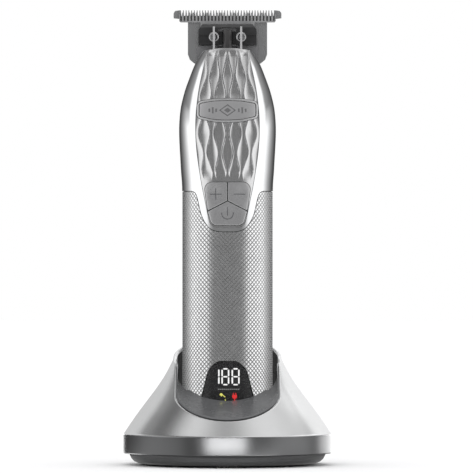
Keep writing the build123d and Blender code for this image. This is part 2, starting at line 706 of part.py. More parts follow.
# x, z outlines, right half from the top down
WING = mirrored([(10.6, 172.6), (WING_HALF, 172.4), (WING_HALF, 165.2), (11.4, 164.3)])
FIXED = mirrored([
    (19.5, TIP_Z), (20.2, 187.35), (21.6, 187.15), (FIXED_HALF, 186.2), (FIXED_HALF, 184.1),
    (STEM_HALF, 183.5), (STEM_HALF, 169.2), (STEM_HALF - 0.8, 167.0),
    (STEM_HALF - 2.6, 165.5), (STEM_HALF - 5.2, 164.9)])
CUTTER = mirrored([
    (CUT_HALF - 0.4, 186.4), (CUT_HALF, 185.4), (CUT_HALF, 182.9), (CUT_HALF - 0.5, 182.4),
    (11.2, 182.3), (11.2, 173.2)])
DRIVE_BLOCK = mirrored([
    (10.3, 181.5), (11.95, 179.2), (11.95, 173.0), (FORK_HALF, 173.0), (FORK_HALF, 179.3),
    (2.7, 180.2)])
BLADE_WINDOW = mirrored([(4.5, 179.5, 1.6), (4.5, 176.0, 1.6)])   # x, z, radius
# y, z of the bevels along X
BLADE_BEVEL = [(FIXED_Y1 + 0.5, 180.0), (FIXED_Y1, 180.0), (FIXED_Y0 + 0.5, TIP_Z + 0.1),
               (FIXED_Y1 + 0.5, TIP_Z + 0.1)]
BLOCK_BEVEL = [(-1.5, 180.1), (-1.0, 180.1), (0.6, 181.6), (-1.5, 181.6)]


def blade_mount():
    body = body_loft(-WALL - 0.2) & mid_box(40, -40, SEAT_CUT_Y, 161.4, 170.0)
    body += mid_box(9.0, SEAT_CUT_Y, SEAT_CUT_Y + 1.0, 164.35, 169.9)
    body = body + plate_xz(WING, SEAT_CUT_Y + 0.05, FIXED_Y0 - 0.03)
    body -= axial(4.3, 150, 180)
    for sx in SIDES:
        body -= cyl(2.0, 150, 163.2, sx * MOTOR_SCREW_X, MOTOR_Y)
        body -= cyl_y(1.25, -2.0, 6, sx * BLADE_SCREW_X, BLADE_SCREW_Z)
        body -= cyl(0.5, 166.0, 175, sx * SPRING_X, LEG_Y)
    return solid_of(body)


def teeth_gaps(half_count, pitch, root_z, top_z, root_w, top_w, y0, y1):
    """Row of tapered gaps between teeth."""
    gaps = []
    for i in range(-half_count, half_count):
        x = (i + 0.5) * pitch
        gaps.append(plate_xz([(x - root_w / 2, root_z), (x + root_w / 2, root_z),
                              (x + top_w / 2, top_z), (x - top_w / 2, top_z)], y0, y1))
    return gaps


def fixed_blade():
    body = plate_xz(FIXED, FIXED_Y0, FIXED_Y1)
    body -= prism_x(BLADE_BEVEL, 40)
    body -= teeth_gaps(17, FIXED_PITCH, 184.8, TIP_Z + 0.4, 0.46, 0.92,
                       FIXED_Y0 - 0.5, FIXED_Y1 + 0.5)
    for sx in SIDES:
        body -= cyl_y(1.5, 4, 8, sx * BLADE_SCREW_X, BLADE_SCREW_Z)
    body -= forward(rounded(BLADE_WINDOW).moved(Location((0, 9, 0))), 6)
    return solid_of(body)


def blade_screws():
    head_y = FIXED_Y1 + 1.5
    return group(screw(Pos(sx * BLADE_SCREW_X, head_y, BLADE_SCREW_Z) * Rot(90, 0, 0),
                       head_y + 0.6, 2.7, 1.45, 1.2, 0.25) for sx in SIDES)


def moving_cutter():
    front = CUT_Y0 - 0.5
    body = plate_xz(CUTTER, CUT_Y0, CUT_Y1)
    body -= teeth_gaps(14, CUT_PITCH, 185.1, 187.0, 0.56, 1.10, front, CUT_Y1 + 0.5)
    # shallow grooves below the teeth, on the front face
    body -= teeth_gaps(14, CUT_PITCH, 182.95, 185.6, 0.66, 0.66, front, CUT_Y0 + 0.42)
    body -= mid_box(4.0, front, CUT_Y0 + 0.3, 173.0, 178.6)
    for sx in SIDES:
        body -= cyl_y(0.85, 3, 6, sx * DRIVE_SCREW_X, DRIVE_SCREW_Z)
    return solid_of(body)


def drive_block():
    body = plate_xz(DRIVE_BLOCK, -1.3, CUT_Y0 - 0.02)
    body -= prism_x(BLOCK_BEVEL, 40)
    for sx in SIDES:
        body -= cyl_y(1.35, -2, 0.2, sx * DRIVE_SCREW_X, DRIVE_SCREW_Z)
        body -= cyl_y(0.9, -2, 6, sx * DRIVE_SCREW_X, DRIVE_SCREW_Z)
        body -= box(sx * 8.2, sx * 12.5, -1.5, -0.7, 173.9, 176.9)
    return solid_of(body)


def drive_block_screws():
    return group(screw(Pos(sx * DRIVE_SCREW_X, -1.0, DRIVE_SCREW_Z) * Rot(-90, 0, 0),
                       5.6, 1.28, 1.1, 0.8, 0.25) for sx in SIDES)


def tension_spring(sx):
    """Coil along Y, a straight leg up its front and a hook reaching back."""
    x = sx * SPRING_X
    helix = Helix(pitch=0.85, height=2.2, radius=1.72, center=(0, 0, 0))
    coil = Pos(x, -1.75, 176.1) * Rot(90, 0, 0) * swept(helix, 0.32)
    leg = cyl(0.42, 166.2, 180.4, x, LEG_Y)
    return solid_of(coil + leg + cyl_y(0.36, LEG_Y, -1.42, x, 180.0))


# ---------------------------------------------------------------- wiring
LEAD_R = 0.5
# x, y, z along the right-hand lead of each pair
MOTOR_LEAD = [(6.9, 6.8, 125.4), (7.4, 7.8, 124.4), (7.5, 8.0, 122.0), (7.6, 8.0, 113.0),
              (8.3, 8.4, 107.0), (10.6, 5.0, 102.8), (11.6, -4.0, 101.0), (9.4, -9.6, 100.0)]
CHARGE_LEAD = [(PIN_X, 0.0, 17.75), (6.4, 0.8, 20.0), (7.4, 3.0, 22.8), (9.0, 1.6, 26.4),
               (9.2, -4.6, 28.0), (9.0, -9.7, 28.6)]


def lead_pair(points):
    return group(swept(Spline(*[(sx * x, y, z) for x, y, z in points]), LEAD_R) for sx in SIDES)


def motor_leads():
    return lead_pair(MOTOR_LEAD)


def charge_leads():
    return lead_pair(CHARGE_LEAD)


# ---------------------------------------------------------------- export
# each piece is written under the name of its function
PIECES = [
    stand_shell, stand_cup, stand_trim_ring, stand_base_plate, stand_feet, stand_screws,
    stand_circuit_board, stand_usb_socket, charge_pin_barrels,
    upper_housing, relief_panel, badge_plate, plus_button, minus_button, power_button,
    knurled_sleeve, display_lens, bottom_cap, charge_pads, cap_screws,
    chassis, battery_cell, battery_tabs, main_board, key_board, tact_switches,
    display_module, display_segments, display_gauge, display_oil_icon, display_plug_icon,
    motor_can, motor_end_cap, motor_magnets, motor_armature, motor_shaft, motor_bushings,
    motor_bracket, motor_screws, eccentric,
    blade_mount, fixed_blade, blade_screws, moving_cutter, drive_block, drive_block_screws,
    motor_leads, charge_leads,
]
for piece in PIECES:
    export_step(piece(), f"parts/{piece.__name__}.step")
for piece in (charge_pin, charge_pin_spring, tension_spring):
    for sx, side in zip(SIDES, ("left", "right")):
        export_step(piece(sx), f"parts/{piece.__name__}_{side}.step")
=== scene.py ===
"""A hair trimmer standing upright in its charging stand.

x runs to the right, -y is the front that faces the camera, z is up from the table.
The handpiece and the stand share the z axis. Sizes are in millimetres unless noted, and
obj_from turns them into metres. Outlines seen from the front are lists of (x, z).
"""
import math
import bpy
import bmesh
import numpy as np
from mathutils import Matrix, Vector
from mathutils.geometry import delaunay_2d_cdt


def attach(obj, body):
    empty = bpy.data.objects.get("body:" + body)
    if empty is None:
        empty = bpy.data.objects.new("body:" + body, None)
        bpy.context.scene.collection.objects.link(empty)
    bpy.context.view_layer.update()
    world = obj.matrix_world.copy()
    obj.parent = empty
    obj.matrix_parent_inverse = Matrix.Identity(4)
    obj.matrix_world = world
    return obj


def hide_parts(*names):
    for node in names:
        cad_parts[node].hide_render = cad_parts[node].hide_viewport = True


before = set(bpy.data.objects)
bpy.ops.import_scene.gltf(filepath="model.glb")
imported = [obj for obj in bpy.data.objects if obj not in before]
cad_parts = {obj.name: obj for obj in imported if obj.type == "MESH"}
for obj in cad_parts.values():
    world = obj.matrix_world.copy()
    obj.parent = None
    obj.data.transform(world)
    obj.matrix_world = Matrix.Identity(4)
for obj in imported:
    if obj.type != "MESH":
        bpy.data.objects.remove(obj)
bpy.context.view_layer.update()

MM = 0.001


# ---------------------------------------------------------------- curves and outlines
def natural_spline(xs, ys):
    """Natural cubic spline through the points, as a function clamped to their range."""
    n = len(xs)
    h = np.diff(xs)
    system = np.zeros((n, n))
    right = np.zeros(n)
    system[0, 0] = system[-1, -1] = 1
    for i in range(1, n - 1):
        system[i, i - 1:i + 2] = h[i - 1], 2 * (h[i - 1] + h[i]), h[i]
        right[i] = 6 * ((ys[i + 1] - ys[i]) / h[i] - (ys[i] - ys[i - 1]) / h[i - 1])
    bend = np.linalg.solve(system, right)

    def value(x):
        x = np.clip(np.asarray(x, float), xs[0], xs[-1])
        k = np.clip(np.searchsorted(xs, x) - 1, 0, n - 2)
        a = (xs[k + 1] - x) / h[k]
        b = (x - xs[k]) / h[k]
        curve = ((a ** 3 - a) * bend[k] + (b ** 3 - b) * bend[k + 1]) * h[k] ** 2 / 6
        return a * ys[k] + b * ys[k + 1] + curve
    return value


def arc_length(line):
    """Distance run along a line at each of its points."""
    return np.concatenate([[0], np.cumsum(np.linalg.norm(np.diff(line, axis=0), axis=1))])


def resample(line, count):
    """The same open line with evenly spaced points."""
    run = arc_length(line)
    even = np.linspace(0, run[-1], count)
    return np.stack([np.interp(even, run, line[:, 0]), np.interp(even, run, line[:, 1])], 1)


def smooth_line(points, count):
    """Centripetal spline through open points, with evenly spaced points."""
    p = np.array(points, float)
    chords = np.linalg.norm(np.diff(p, axis=0), axis=1)
    t = np.concatenate([[0], np.cumsum(chords ** 0.5)])
    fine = np.linspace(0, t[-1], 1200)
    line = [natural_spline(t, p[:, 0])(fine), natural_spline(t, p[:, 1])(fine)]
    return resample(np.stack(line, 1), count)


def grown(points, amount):
    """Closed outline moved outwards by amount."""
    p = np.array(points, float)
    before, after = np.roll(p, 1, 0), np.roll(p, -1, 0)
    area = np.sum(p[:, 0] * after[:, 1] - after[:, 0] * p[:, 1])
    turn = 1 if area > 0 else -1
    normals = []
    for edge in (p - before, after - p):
        edge /= np.linalg.norm(edge, axis=1)[:, None]
        normals.append(np.stack([edge[:, 1], -edge[:, 0]], 1) * turn)
    n1, n2 = normals
    miter = amount / np.clip(1 + np.sum(n1 * n2, 1), 0.35, 2)
    return p + (n1 + n2) * miter[:, None]


def corner_arcs(points, radii, step=None, segments=None):
    """Closed outline with an arc at each corner, cut by step length or into segments."""
    n = len(points)
    out = []
    for i, radius in enumerate(radii):
        corner, before, after = (np.array(points[j % n], float) for j in (i, i - 1, i + 1))
        back = (before - corner) / np.linalg.norm(before - corner)
        on = (after - corner) / np.linalg.norm(after - corner)
        half = math.acos(max(-1, min(1, float(back @ on)))) / 2
        reach = radius / math.tan(half)
        centre = corner + (back + on) / np.linalg.norm(back + on) * radius / math.sin(half)
        first, last = corner + back * reach - centre, corner + on * reach - centre
        a0, a1 = math.atan2(first[1], first[0]), math.atan2(last[1], last[0])
        while a1 - a0 > math.pi:
            a1 -= 2 * math.pi
        while a1 - a0 < -math.pi:
            a1 += 2 * math.pi
        m = segments or max(3, int(abs(a1 - a0) * radius / step))
        for k in range(m + 1):
            a = a0 + (a1 - a0) * k / m
            out.append(centre + radius * np.array([math.cos(a), math.sin(a)]))
    return np.array(out)


def subdivide(outline, step):
    """Closed outline with points added about every step."""
    outline = np.asarray(outline, float)
    out = []
    for a, b in zip(outline, np.roll(outline, -1, 0)):
        length = np.linalg.norm(b - a)
        if length < 1e-6:
            continue
        m = max(1, int(length / step))
        out += [a + (b - a) * k / m for k in range(m)]
    return np.array(out)


def rounded(points, radii, grow=0.0, step=0.22):
    """Outline with round corners, grown as a whole and finely divided."""
    arcs = corner_arcs(grown(points, grow), [r + grow for r in radii], step=step)
    return subdivide(arcs, step)


def rectangle(x0, z0, x1, z1):
    return np.array([(x0, z0), (x1, z0), (x1, z1), (x0, z1)], float)


def clip_half(outline, nx, nz, limit):
    """Part of an outline with nx*x + nz*z <= limit."""
    out = []
    for p, q in zip(outline, np.roll(outline, -1, 0)):
        dp = nx * p[0] + nz * p[1] - limit
        dq = nx * q[0] + nz * q[1] - limit
        if dp <= 0:
            out.append(p)
        if dp * dq < 0:
            out.append(p + (q - p) * dp / (dp - dq))
    return np.array(out)


def inside(points, outline):
    x, z = points[:, 0][:, None], points[:, 1][:, None]
    a, b = outline, np.roll(outline, -1, 0)
    slope = (b[:, 0] - a[:, 0]) * (z - a[:, 1]) / (b[:, 1] - a[:, 1] + 1e-15)
    crossed = ((a[:, 1] > z) != (b[:, 1] > z)) & (x < slope + a[:, 0])
    return (crossed.sum(1) % 2) == 1


def in_region(points, loops):
    """Inside the first loop and outside the others."""
    ok = inside(points, loops[0])
    for hole in loops[1:]:
        ok &= ~inside(points, hole)
    return ok


def distance_to(points, outline, chunk=2000):
    """Distance from each point to the outline, in chunks that keep the arrays small."""
    a = outline
    ab = np.roll(outline, -1, 0) - a
    length2 = (ab ** 2).sum(1) + 1e-15
    nearest = np.full(len(points), 1e9)
    for i in range(0, len(points), chunk):
        p = points[i:i + chunk][:, None, :]
        t = np.clip(((p - a) * ab).sum(2) / length2, 0, 1)
        gaps = np.sqrt(((p - (a + ab * t[..., None])) ** 2).sum(2))
        nearest[i:i + chunk] = gaps.min(1)
    return nearest


def smoothstep(t):
    t = np.clip(t, 0, 1)
    return t * t * (3 - 2 * t)


# ---------------------------------------------------------------- mesh helpers
def tidy(ob, sharp):
    """Merges doubles, turns the normals out and marks edges over sharp degrees."""
    bm = bmesh.new()
    bm.from_mesh(ob.data)
    bmesh.ops.remove_doubles(bm, verts=bm.verts, dist=2e-7)
    bmesh.ops.dissolve_degenerate(bm, dist=1e-8, edges=bm.edges)
    bmesh.ops.recalc_face_normals(bm, faces=bm.faces)
    limit = math.radians(sharp)
    for face in bm.faces:
        face.smooth = True
    for edge in bm.edges:
        edge.smooth = not (len(edge.link_faces) == 2 and edge.calc_face_angle(0) > limit)
    bm.to_mesh(ob.data)
    bm.free()


def obj_from(name, verts, faces, finishes=(), sharp=35):
    mesh = bpy.data.meshes.new(name)
    metres = np.asarray(verts, float) * MM
    mesh.from_pydata(metres.tolist(), [], [tuple(map(int, f)) for f in faces])
    ob = bpy.data.objects.new(name, mesh)
    bpy.context.scene.collection.objects.link(ob)
    tidy(ob, sharp)
    for finish in finishes:
        mesh.materials.append(finish)
    return ob


def bake_modifiers(ob, sharp):
    graph = bpy.context.evaluated_depsgraph_get()
    graph.update()
    mesh = bpy.data.meshes.new_from_object(ob.evaluated_get(graph))
    old = ob.data
    ob.modifiers.clear()
    ob.data = mesh
    mesh.name = old.name
    tidy(ob, sharp)


def cut(ob, tool, sharp):
    """Takes the tool out of the object and removes the tool."""
    mod = ob.modifiers.new("b", "BOOLEAN")
    mod.operation = "DIFFERENCE"
    mod.solver = "EXACT"
    mod.object = tool
    bake_modifiers(ob, sharp)
    bpy.data.objects.remove(tool)


def prism(outline, y0, y1):
    """Cutting tool: an outline run from y0 to y1."""
    n = len(outline)
    verts = [(x, y0, z) for x, z in outline] + [(x, y1, z) for x, z in outline]
    faces = [tuple(range(n)), tuple(range(2 * n - 1, n - 1, -1))]
    faces += [(i, (i + 1) % n, n + (i + 1) % n, n + i) for i in range(n)]
    return obj_from("tool", verts, faces)


def grid_faces(rows, cols, base=0, flip=False, wrap_rows=False, wrap_cols=False):
    """Quads over a grid of vertices that starts at index base."""
    faces = []
    for r in range(rows if wrap_rows else rows - 1):
        for c in range(cols if wrap_cols else cols - 1):
            here, above = base + r * cols, base + (r + 1) % rows * cols
            c1 = (c + 1) % cols
            quad = (here + c, here + c1, above + c1, above + c)
            faces.append(quad[::-1] if flip else quad)
    return faces


def both_sides(grid, base=0, flip=False, wrap_cols=False):
    """Vertices and faces of a grid on the right and of its mirror image on the left."""
    rows, cols = grid.shape[:2]
    verts, faces = [], []
    for side in (1, -1):
        faces += grid_faces(rows, cols, base + len(verts), flip != (side == -1),
                            wrap_cols=wrap_cols)
        verts += (grid * (side, 1, 1)).reshape(-1, 3).tolist()
    return verts, faces


def plate(name, outline, lift, finish, edge, depth, grid, holes=(), steps=5):
    """Closed plate over an outline. lift(x, z) is the y of its front skin.

    edge is the radius of its rim and grid the spacing of the points on the skin.
    """
    loops = [np.asarray(loop) for loop in (outline, *holes)]
    points, edges, insets = [], [], []
    for k, loop in enumerate(loops):
        side = 1 if k else -1
        for j in range(steps + 1 if edge > 0 else 1):
            inset = edge * (1 - math.cos(math.pi / 2 * j / steps))
            ring = grown(loop, side * inset) if inset > 0 else loop
            base, n = len(points), len(ring)
            points += ring.tolist()
            insets += [inset] * n
            edges += [(base + i, base + (i + 1) % n) for i in range(n)]
    low, high = loops[0].min(0), loops[0].max(0)
    gx, gz = np.meshgrid(np.arange(low[0] + grid / 2, high[0], grid),
                         np.arange(low[1] + grid / 2, high[1], grid))
    fill = np.stack([gx.ravel(), gz.ravel()], 1)
    fill = fill[in_region(fill, loops)]
    nearest = np.min([distance_to(fill, loop) for loop in loops], axis=0)
    fill = fill[nearest > edge + 0.35 * grid]
    far = 1e3
    points += fill.tolist()
    insets += [far] * len(fill)

    mesh = delaunay_2d_cdt([Vector(p) for p in points], edges, [], 0, 1e-7)
    flat = np.array([tuple(v) for v in mesh[0]])
    inset = np.array([insets[origin[0]] if len(origin) else far for origin in mesh[3]])
    tris = np.array([t for t in mesh[2] if len(t) == 3])
    tris = tris[in_region(flat[tris].mean(1), loops)]

    x, z = flat[:, 0], flat[:, 1]
    round_off = edge ** 2 - (edge - np.clip(inset, 0, edge)) ** 2
    drop = np.where(inset < edge, edge - np.sqrt(np.clip(round_off, 0, None)), 0)
    y = lift(x, z)
    verts = np.concatenate([np.stack([x, y + drop, z], 1), np.stack([x, y + depth, z], 1)])
    n = len(flat)
    faces = tris.tolist() + (tris[:, ::-1] + n).tolist()
    # rim walls stand on the edges used by one triangle only
    uses = {}
    for t in tris.tolist():
        for a, b in ((t[0], t[1]), (t[1], t[2]), (t[2], t[0])):
            uses.setdefault((min(a, b), max(a, b)), []).append((a, b))
    for pairs in uses.values():
        if len(pairs) == 1:
            a, b = pairs[0]
            faces.append((b, a, a + n, b + n))
    used = np.zeros(2 * n, bool)
    used[np.array([i for f in faces for i in f])] = True
    index = np.cumsum(used) - 1
    faces = [tuple(index[list(f)]) for f in faces]
    return obj_from(name, verts[used], faces, [finish], sharp=50)


def lathe(name, profile, finish, count=256):
    """Closed (radius, z) profile turned about the z axis."""
    p = np.array(profile, float)
    a = np.linspace(0, 2 * math.pi, count, endpoint=False)
    verts = np.stack([np.outer(np.sin(a), p[:, 0]), -np.outer(np.cos(a), p[:, 0]),
                      np.outer(np.ones(count), p[:, 1])], 2).reshape(-1, 3)
    faces = grid_faces(count, len(p), wrap_rows=True, wrap_cols=True)
    return obj_from(name, verts, faces, [finish], sharp=50)


def fit(ob, body, slot, *nodes):
    """Registers a piece: the body it rides on and the CAD nodes it replaces; slot is not used.
    """
    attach(ob, body)
    if nodes:
        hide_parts(*nodes)


def motif(name, outlines, lift, finish, body="handpiece", slot="brushed_metal", nodes=(),
          edge=0.0, depth=0.05, grid=0.5):
    """Several small plates joined into one object."""
    parts = [plate(f"{name}_{i}", outline, lift, finish, edge, depth, grid, steps=3)
             for i, outline in enumerate(outlines)]
    joined = bmesh.new()
    for part in parts:
        joined.from_mesh(part.data)
    ob = parts[0]
    joined.to_mesh(ob.data)
    joined.free()
    for part in parts[1:]:
        bpy.data.objects.remove(part)
    ob.name = name
    fit(ob, body, slot, *nodes)


# ---------------------------------------------------------------- shader helpers
def feed(tree, socket, value):
    """Links a socket to another one, or sets its value."""
    if isinstance(value, bpy.types.NodeSocket):
        tree.links.new(value, socket)
    else:
        socket.default_value = value


def math_node(tree, operation, *values):
    node = tree.nodes.new("ShaderNodeMath")
    node.operation = operation
    for socket, value in zip(node.inputs, values):
        feed(tree, socket, value)
    return node.outputs[0]


def mix_node(tree, factor, first, second, blend="MIX"):
    node = tree.nodes.new("ShaderNodeMix")
    node.data_type = "RGBA"
    node.blend_type = blend
    for name, value in (("Factor", factor), ("A", first), ("B", second)):
        feed(tree, node.inputs[name], value)
    return node.outputs["Result"]


def noise_node(tree, vector, scale, detail):
    node = tree.nodes.new("ShaderNodeTexNoise")
    node.inputs["Scale"].default_value = scale
    node.inputs["Detail"].default_value = detail
    tree.links.new(vector, node.inputs["Vector"])
    return node.outputs["Fac"]


def material(name, colour, rough, metal=0.0, vary=0.06, rough_vary=0.05, noise=120.0,
             bump=0.0, bump_noise=900.0, coat=0.0, stretch=None, alpha=None, emit=0.0):
    """Finish whose colour and roughness wander with noise; bump adds a fine grain.

    vary is a share of the colour, rough_vary is added to and taken from rough, noise and
    bump_noise are texture scales, and stretch scales the texture along each axis.
    """
    mat = bpy.data.materials.new(name)
    mat.use_nodes = True
    tree = mat.node_tree
    new, link = tree.nodes.new, tree.links.new
    shader = tree.nodes["Principled BSDF"]
    inputs = shader.inputs
    place = new("ShaderNodeMapping")
    link(new("ShaderNodeTexCoord").outputs["Object"], place.inputs["Vector"])
    if stretch:
        place.inputs["Scale"].default_value = stretch
    vector = place.outputs["Vector"]

    tint = new("ShaderNodeValToRGB")
    link(noise_node(tree, vector, noise, 5), tint.inputs["Fac"])
    dark, light = tint.color_ramp.elements
    dark.position, light.position = 0.3, 0.7
    dark.color = (*[max(0, c * (1 - vary)) for c in colour], 1)
    light.color = (*[min(1, c * (1 + vary)) for c in colour], 1)
    link(tint.outputs["Color"], inputs["Base Color"])

    sheen = new("ShaderNodeMapRange")
    sheen.inputs["To Min"].default_value = max(0.01, rough - rough_vary)
    sheen.inputs["To Max"].default_value = rough + rough_vary
    link(noise_node(tree, vector, noise * 2.3, 4), sheen.inputs["Value"])
    link(sheen.outputs["Result"], inputs["Roughness"])
    inputs["Metallic"].default_value = metal
    if coat:
        inputs["Coat Weight"].default_value = coat
        inputs["Coat Roughness"].default_value = 0.05
    if bump:
        grain = new("ShaderNodeBump")
        grain.inputs["Strength"].default_value = bump
        grain.inputs["Distance"].default_value = 0.0001
        link(noise_node(tree, vector, bump_noise, 3), grain.inputs["Height"])
        link(grain.outputs["Normal"], inputs["Normal"])
    if alpha is not None:
        inputs["Alpha"].default_value = alpha
    if emit:
        link(tint.outputs["Color"], inputs["Emission Color"])
        inputs["Emission Strength"].default_value = emit
    return mat


def paint_shade_behind(mat, y, factor):
    """Paints shade: multiplies the colour by factor behind the plane at y (metres)."""
    tree = mat.node_tree
    base = tree.nodes["Principled BSDF"].inputs["Base Color"]
    colour = base.links[0].from_socket
    split = tree.nodes.new("ShaderNodeSeparateXYZ")
    coords = tree.nodes.new("ShaderNodeTexCoord")
    tree.links.new(coords.outputs["Object"], split.inputs[0])
    behind = math_node(tree, "GREATER_THAN", split.outputs["Y"], y)
    # painted shade: the grey that darkens the colour behind the plane
    painted_shade = (factor, factor, factor, 1)
    tree.links.new(mix_node(tree, behind, colour, painted_shade, "MULTIPLY"), base)


# ---------------------------------------------------------------- materials
# handpiece skin, badge and keys
chrome = material("polished_chrome", (0.90, 0.905, 0.915), rough=0.075, metal=1.0,
                  vary=0.015, rough_vary=0.02, noise=60)
panel_mt = material("fluted_satin_chrome", (0.70, 0.70, 0.705), rough=0.17, metal=0.95,
                    vary=0.02, rough_vary=0.02, noise=60)
badge_mt = material("badge_steel", (0.43, 0.43, 0.435), rough=0.30, metal=0.5, vary=0.05,
                    rough_vary=0.04, noise=220, stretch=(0.12, 1, 1.0))
badge_rim_mt = material("badge_rim_satin", (0.56, 0.56, 0.565), rough=0.18, metal=0.65,
                        vary=0.02, rough_vary=0.02, noise=80)
motif_mt = material("badge_motif", (0.22, 0.22, 0.225), rough=0.25, metal=0.5, vary=0.02,
                    noise=90)
key_mt = material("key_satin_metal", (0.45, 0.45, 0.455), rough=0.27, metal=0.62,
                  vary=0.03, rough_vary=0.012, noise=60)
ink_mt = material("key_symbol", (0.085, 0.085, 0.09), rough=0.35, vary=0.08)
sleeve_mt = material("knurled_grip", (0.90, 0.905, 0.91), rough=0.16, metal=1.0, vary=0.03,
                     rough_vary=0.04, noise=300)
# the valleys' darker colour is painted shade in the grooves; their higher roughness belongs to
# the metal
valley_shade_mt = material("knurl_valleys", (0.68, 0.682, 0.685), rough=0.40, metal=1.0,
                     vary=0.05, noise=300)
# stand
shell_mt = material("satin_silver_shell", (0.88, 0.885, 0.89), rough=0.24, metal=1.0,
                    vary=0.012, rough_vary=0.03, noise=240, bump=0.02, bump_noise=2500)
ring_mt = material("polished_dark_ring", (0.115, 0.116, 0.118), rough=0.30, metal=1.0,
                   vary=0.02, rough_vary=0.02, noise=120)
# painted highlight: the ring's top edge is the ring's dark metal made lighter
ring_edge_highlight_mt = material("ring_edge", (0.30, 0.30, 0.305), rough=0.2, metal=1.0, vary=0.02)
cup_mt = material("smoked_liner", (0.125, 0.127, 0.13), rough=0.27, vary=0.05,
                  rough_vary=0.03, noise=90, coat=0.12)
base_mt = material("base_plastic", (0.085, 0.086, 0.088), rough=0.42, noise=300, bump=0.15,
                   bump_noise=3000)
rubber_mt = material("foot_rubber", (0.10, 0.10, 0.10), rough=0.6, vary=0.10, noise=500,
                     bump=0.3, bump_noise=2500)
# display
glass_mt = material("smoked_lens", (0.045, 0.045, 0.047), rough=0.14, vary=0.02,
                    rough_vary=0.01, noise=50, alpha=0.30)
screen_mt = material("screen_black", (0.038, 0.038, 0.040), rough=0.45, vary=0.04, noise=200)
white_led = material("segment_white", (0.95, 0.95, 0.95), rough=0.4, vary=0.02, emit=1.6)
grey_led = material("segment_grey", (0.50, 0.50, 0.50), rough=0.4, vary=0.02, emit=0.6)
yellow_led = material("icon_yellow", (0.88, 0.86, 0.18), rough=0.4, vary=0.03, emit=1.3)
red_led = material("icon_red", (0.85, 0.03, 0.03), rough=0.4, vary=0.03, emit=1.3)
# blades and drive
blade_mt = material("ground_blade_steel", (0.50, 0.505, 0.51), rough=0.28, metal=0.80,
                    vary=0.08, rough_vary=0.06, noise=160, stretch=(1, 1, 0.08))
cutter_mt = material("ground_cutter_steel", (0.46, 0.46, 0.465), rough=0.26, metal=0.55,
                     vary=0.08, rough_vary=0.06, noise=160, stretch=(1, 1, 0.08))
# painted shade: the colour is darkened in the recesses behind the cutter's ground front
paint_shade_behind(cutter_mt, y=0.00372, factor=0.22)
block_mt = material("drive_block_black", (0.030, 0.030, 0.031), rough=0.30, vary=0.15,
                    rough_vary=0.06, noise=400, bump=0.1)
mount_mt = material("mount_grey", (0.19, 0.19, 0.195), rough=0.36, vary=0.08, noise=300,
                    bump=0.1)
spring_mt = material("spring_wire", (0.78, 0.78, 0.79), rough=0.16, metal=1.0, vary=0.04,
                     noise=700)
screw_mt = material("screw_steel", (0.62, 0.62, 0.63), rough=0.25, metal=1.0, noise=500,
                    bump=0.1)
eccentric_mt = material("eccentric_dark", (0.055, 0.053, 0.053), rough=0.24, noise=300)
# inner parts
pcb_mt = material("circuit_board", (0.02, 0.15, 0.07), rough=0.35, vary=0.25,
                  rough_vary=0.06, noise=700, coat=0.3)
gold_mt = material("gold_contact", (0.83, 0.62, 0.28), rough=0.18, metal=1.0, vary=0.05,
                   noise=500)
motor_mt = material("motor_zinc", (0.55, 0.555, 0.56), rough=0.30, metal=1.0,
                    rough_vary=0.08, noise=90)
magnet_mt = material("ferrite", (0.07, 0.07, 0.075), rough=0.6, vary=0.15, noise=500,
                     bump=0.2)
copper_mt = material("armature_copper", (0.72, 0.34, 0.18), rough=0.3, metal=1.0,
                     vary=0.15, rough_vary=0.08, noise=300, stretch=(1, 1, 0.1))
cell_mt = material("cell_wrap", (0.05, 0.14, 0.42), rough=0.28, noise=90, coat=0.4)
lead_mt = material("lead_insulation", (0.45, 0.02, 0.02), rough=0.4, vary=0.08, noise=600)
chassis_mt = material("chassis_black", (0.03, 0.03, 0.032), rough=0.45, vary=0.1,
                      noise=300, bump=0.15, bump_noise=1800)

# CAD nodes that keep their own mesh, by finish
CAD_FINISHES = [
    (cup_mt, "stand_cup"), (rubber_mt, "stand_feet"), (base_mt, "stand_base_plate"),
    (screw_mt, "stand_screws stand_usb_socket cap_screws motor_screws motor_shaft "
               "blade_screws drive_block_screws"),
    (pcb_mt, "stand_circuit_board key_board main_board"),
    (gold_mt, "charge_pin_barrels charge_pin_left charge_pin_right charge_pads "
              "motor_bushings"),
    (spring_mt, "charge_pin_spring_left charge_pin_spring_right battery_tabs "
                "tension_spring_left tension_spring_right"),
    (chassis_mt, "display_module tact_switches chassis bottom_cap motor_end_cap"),
    (cell_mt, "battery_cell"), (lead_mt, "charge_leads motor_leads"),
    (motor_mt, "motor_can motor_bracket"), (magnet_mt, "motor_magnets"),
    (copper_mt, "motor_armature"), (eccentric_mt, "eccentric"), (mount_mt, "blade_mount"),
    (blade_mt, "fixed_blade"), (cutter_mt, "moving_cutter"), (block_mt, "drive_block"),
]
for finish, names in CAD_FINISHES:
    for name in names.split():
        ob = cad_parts.get(name)
        if ob is not None:
            ob.data.materials.clear()
            ob.data.materials.append(finish)

# the liner's dark walls don't mirror in the grip
if "stand_cup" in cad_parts:
    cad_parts["stand_cup"].visible_glossy = False

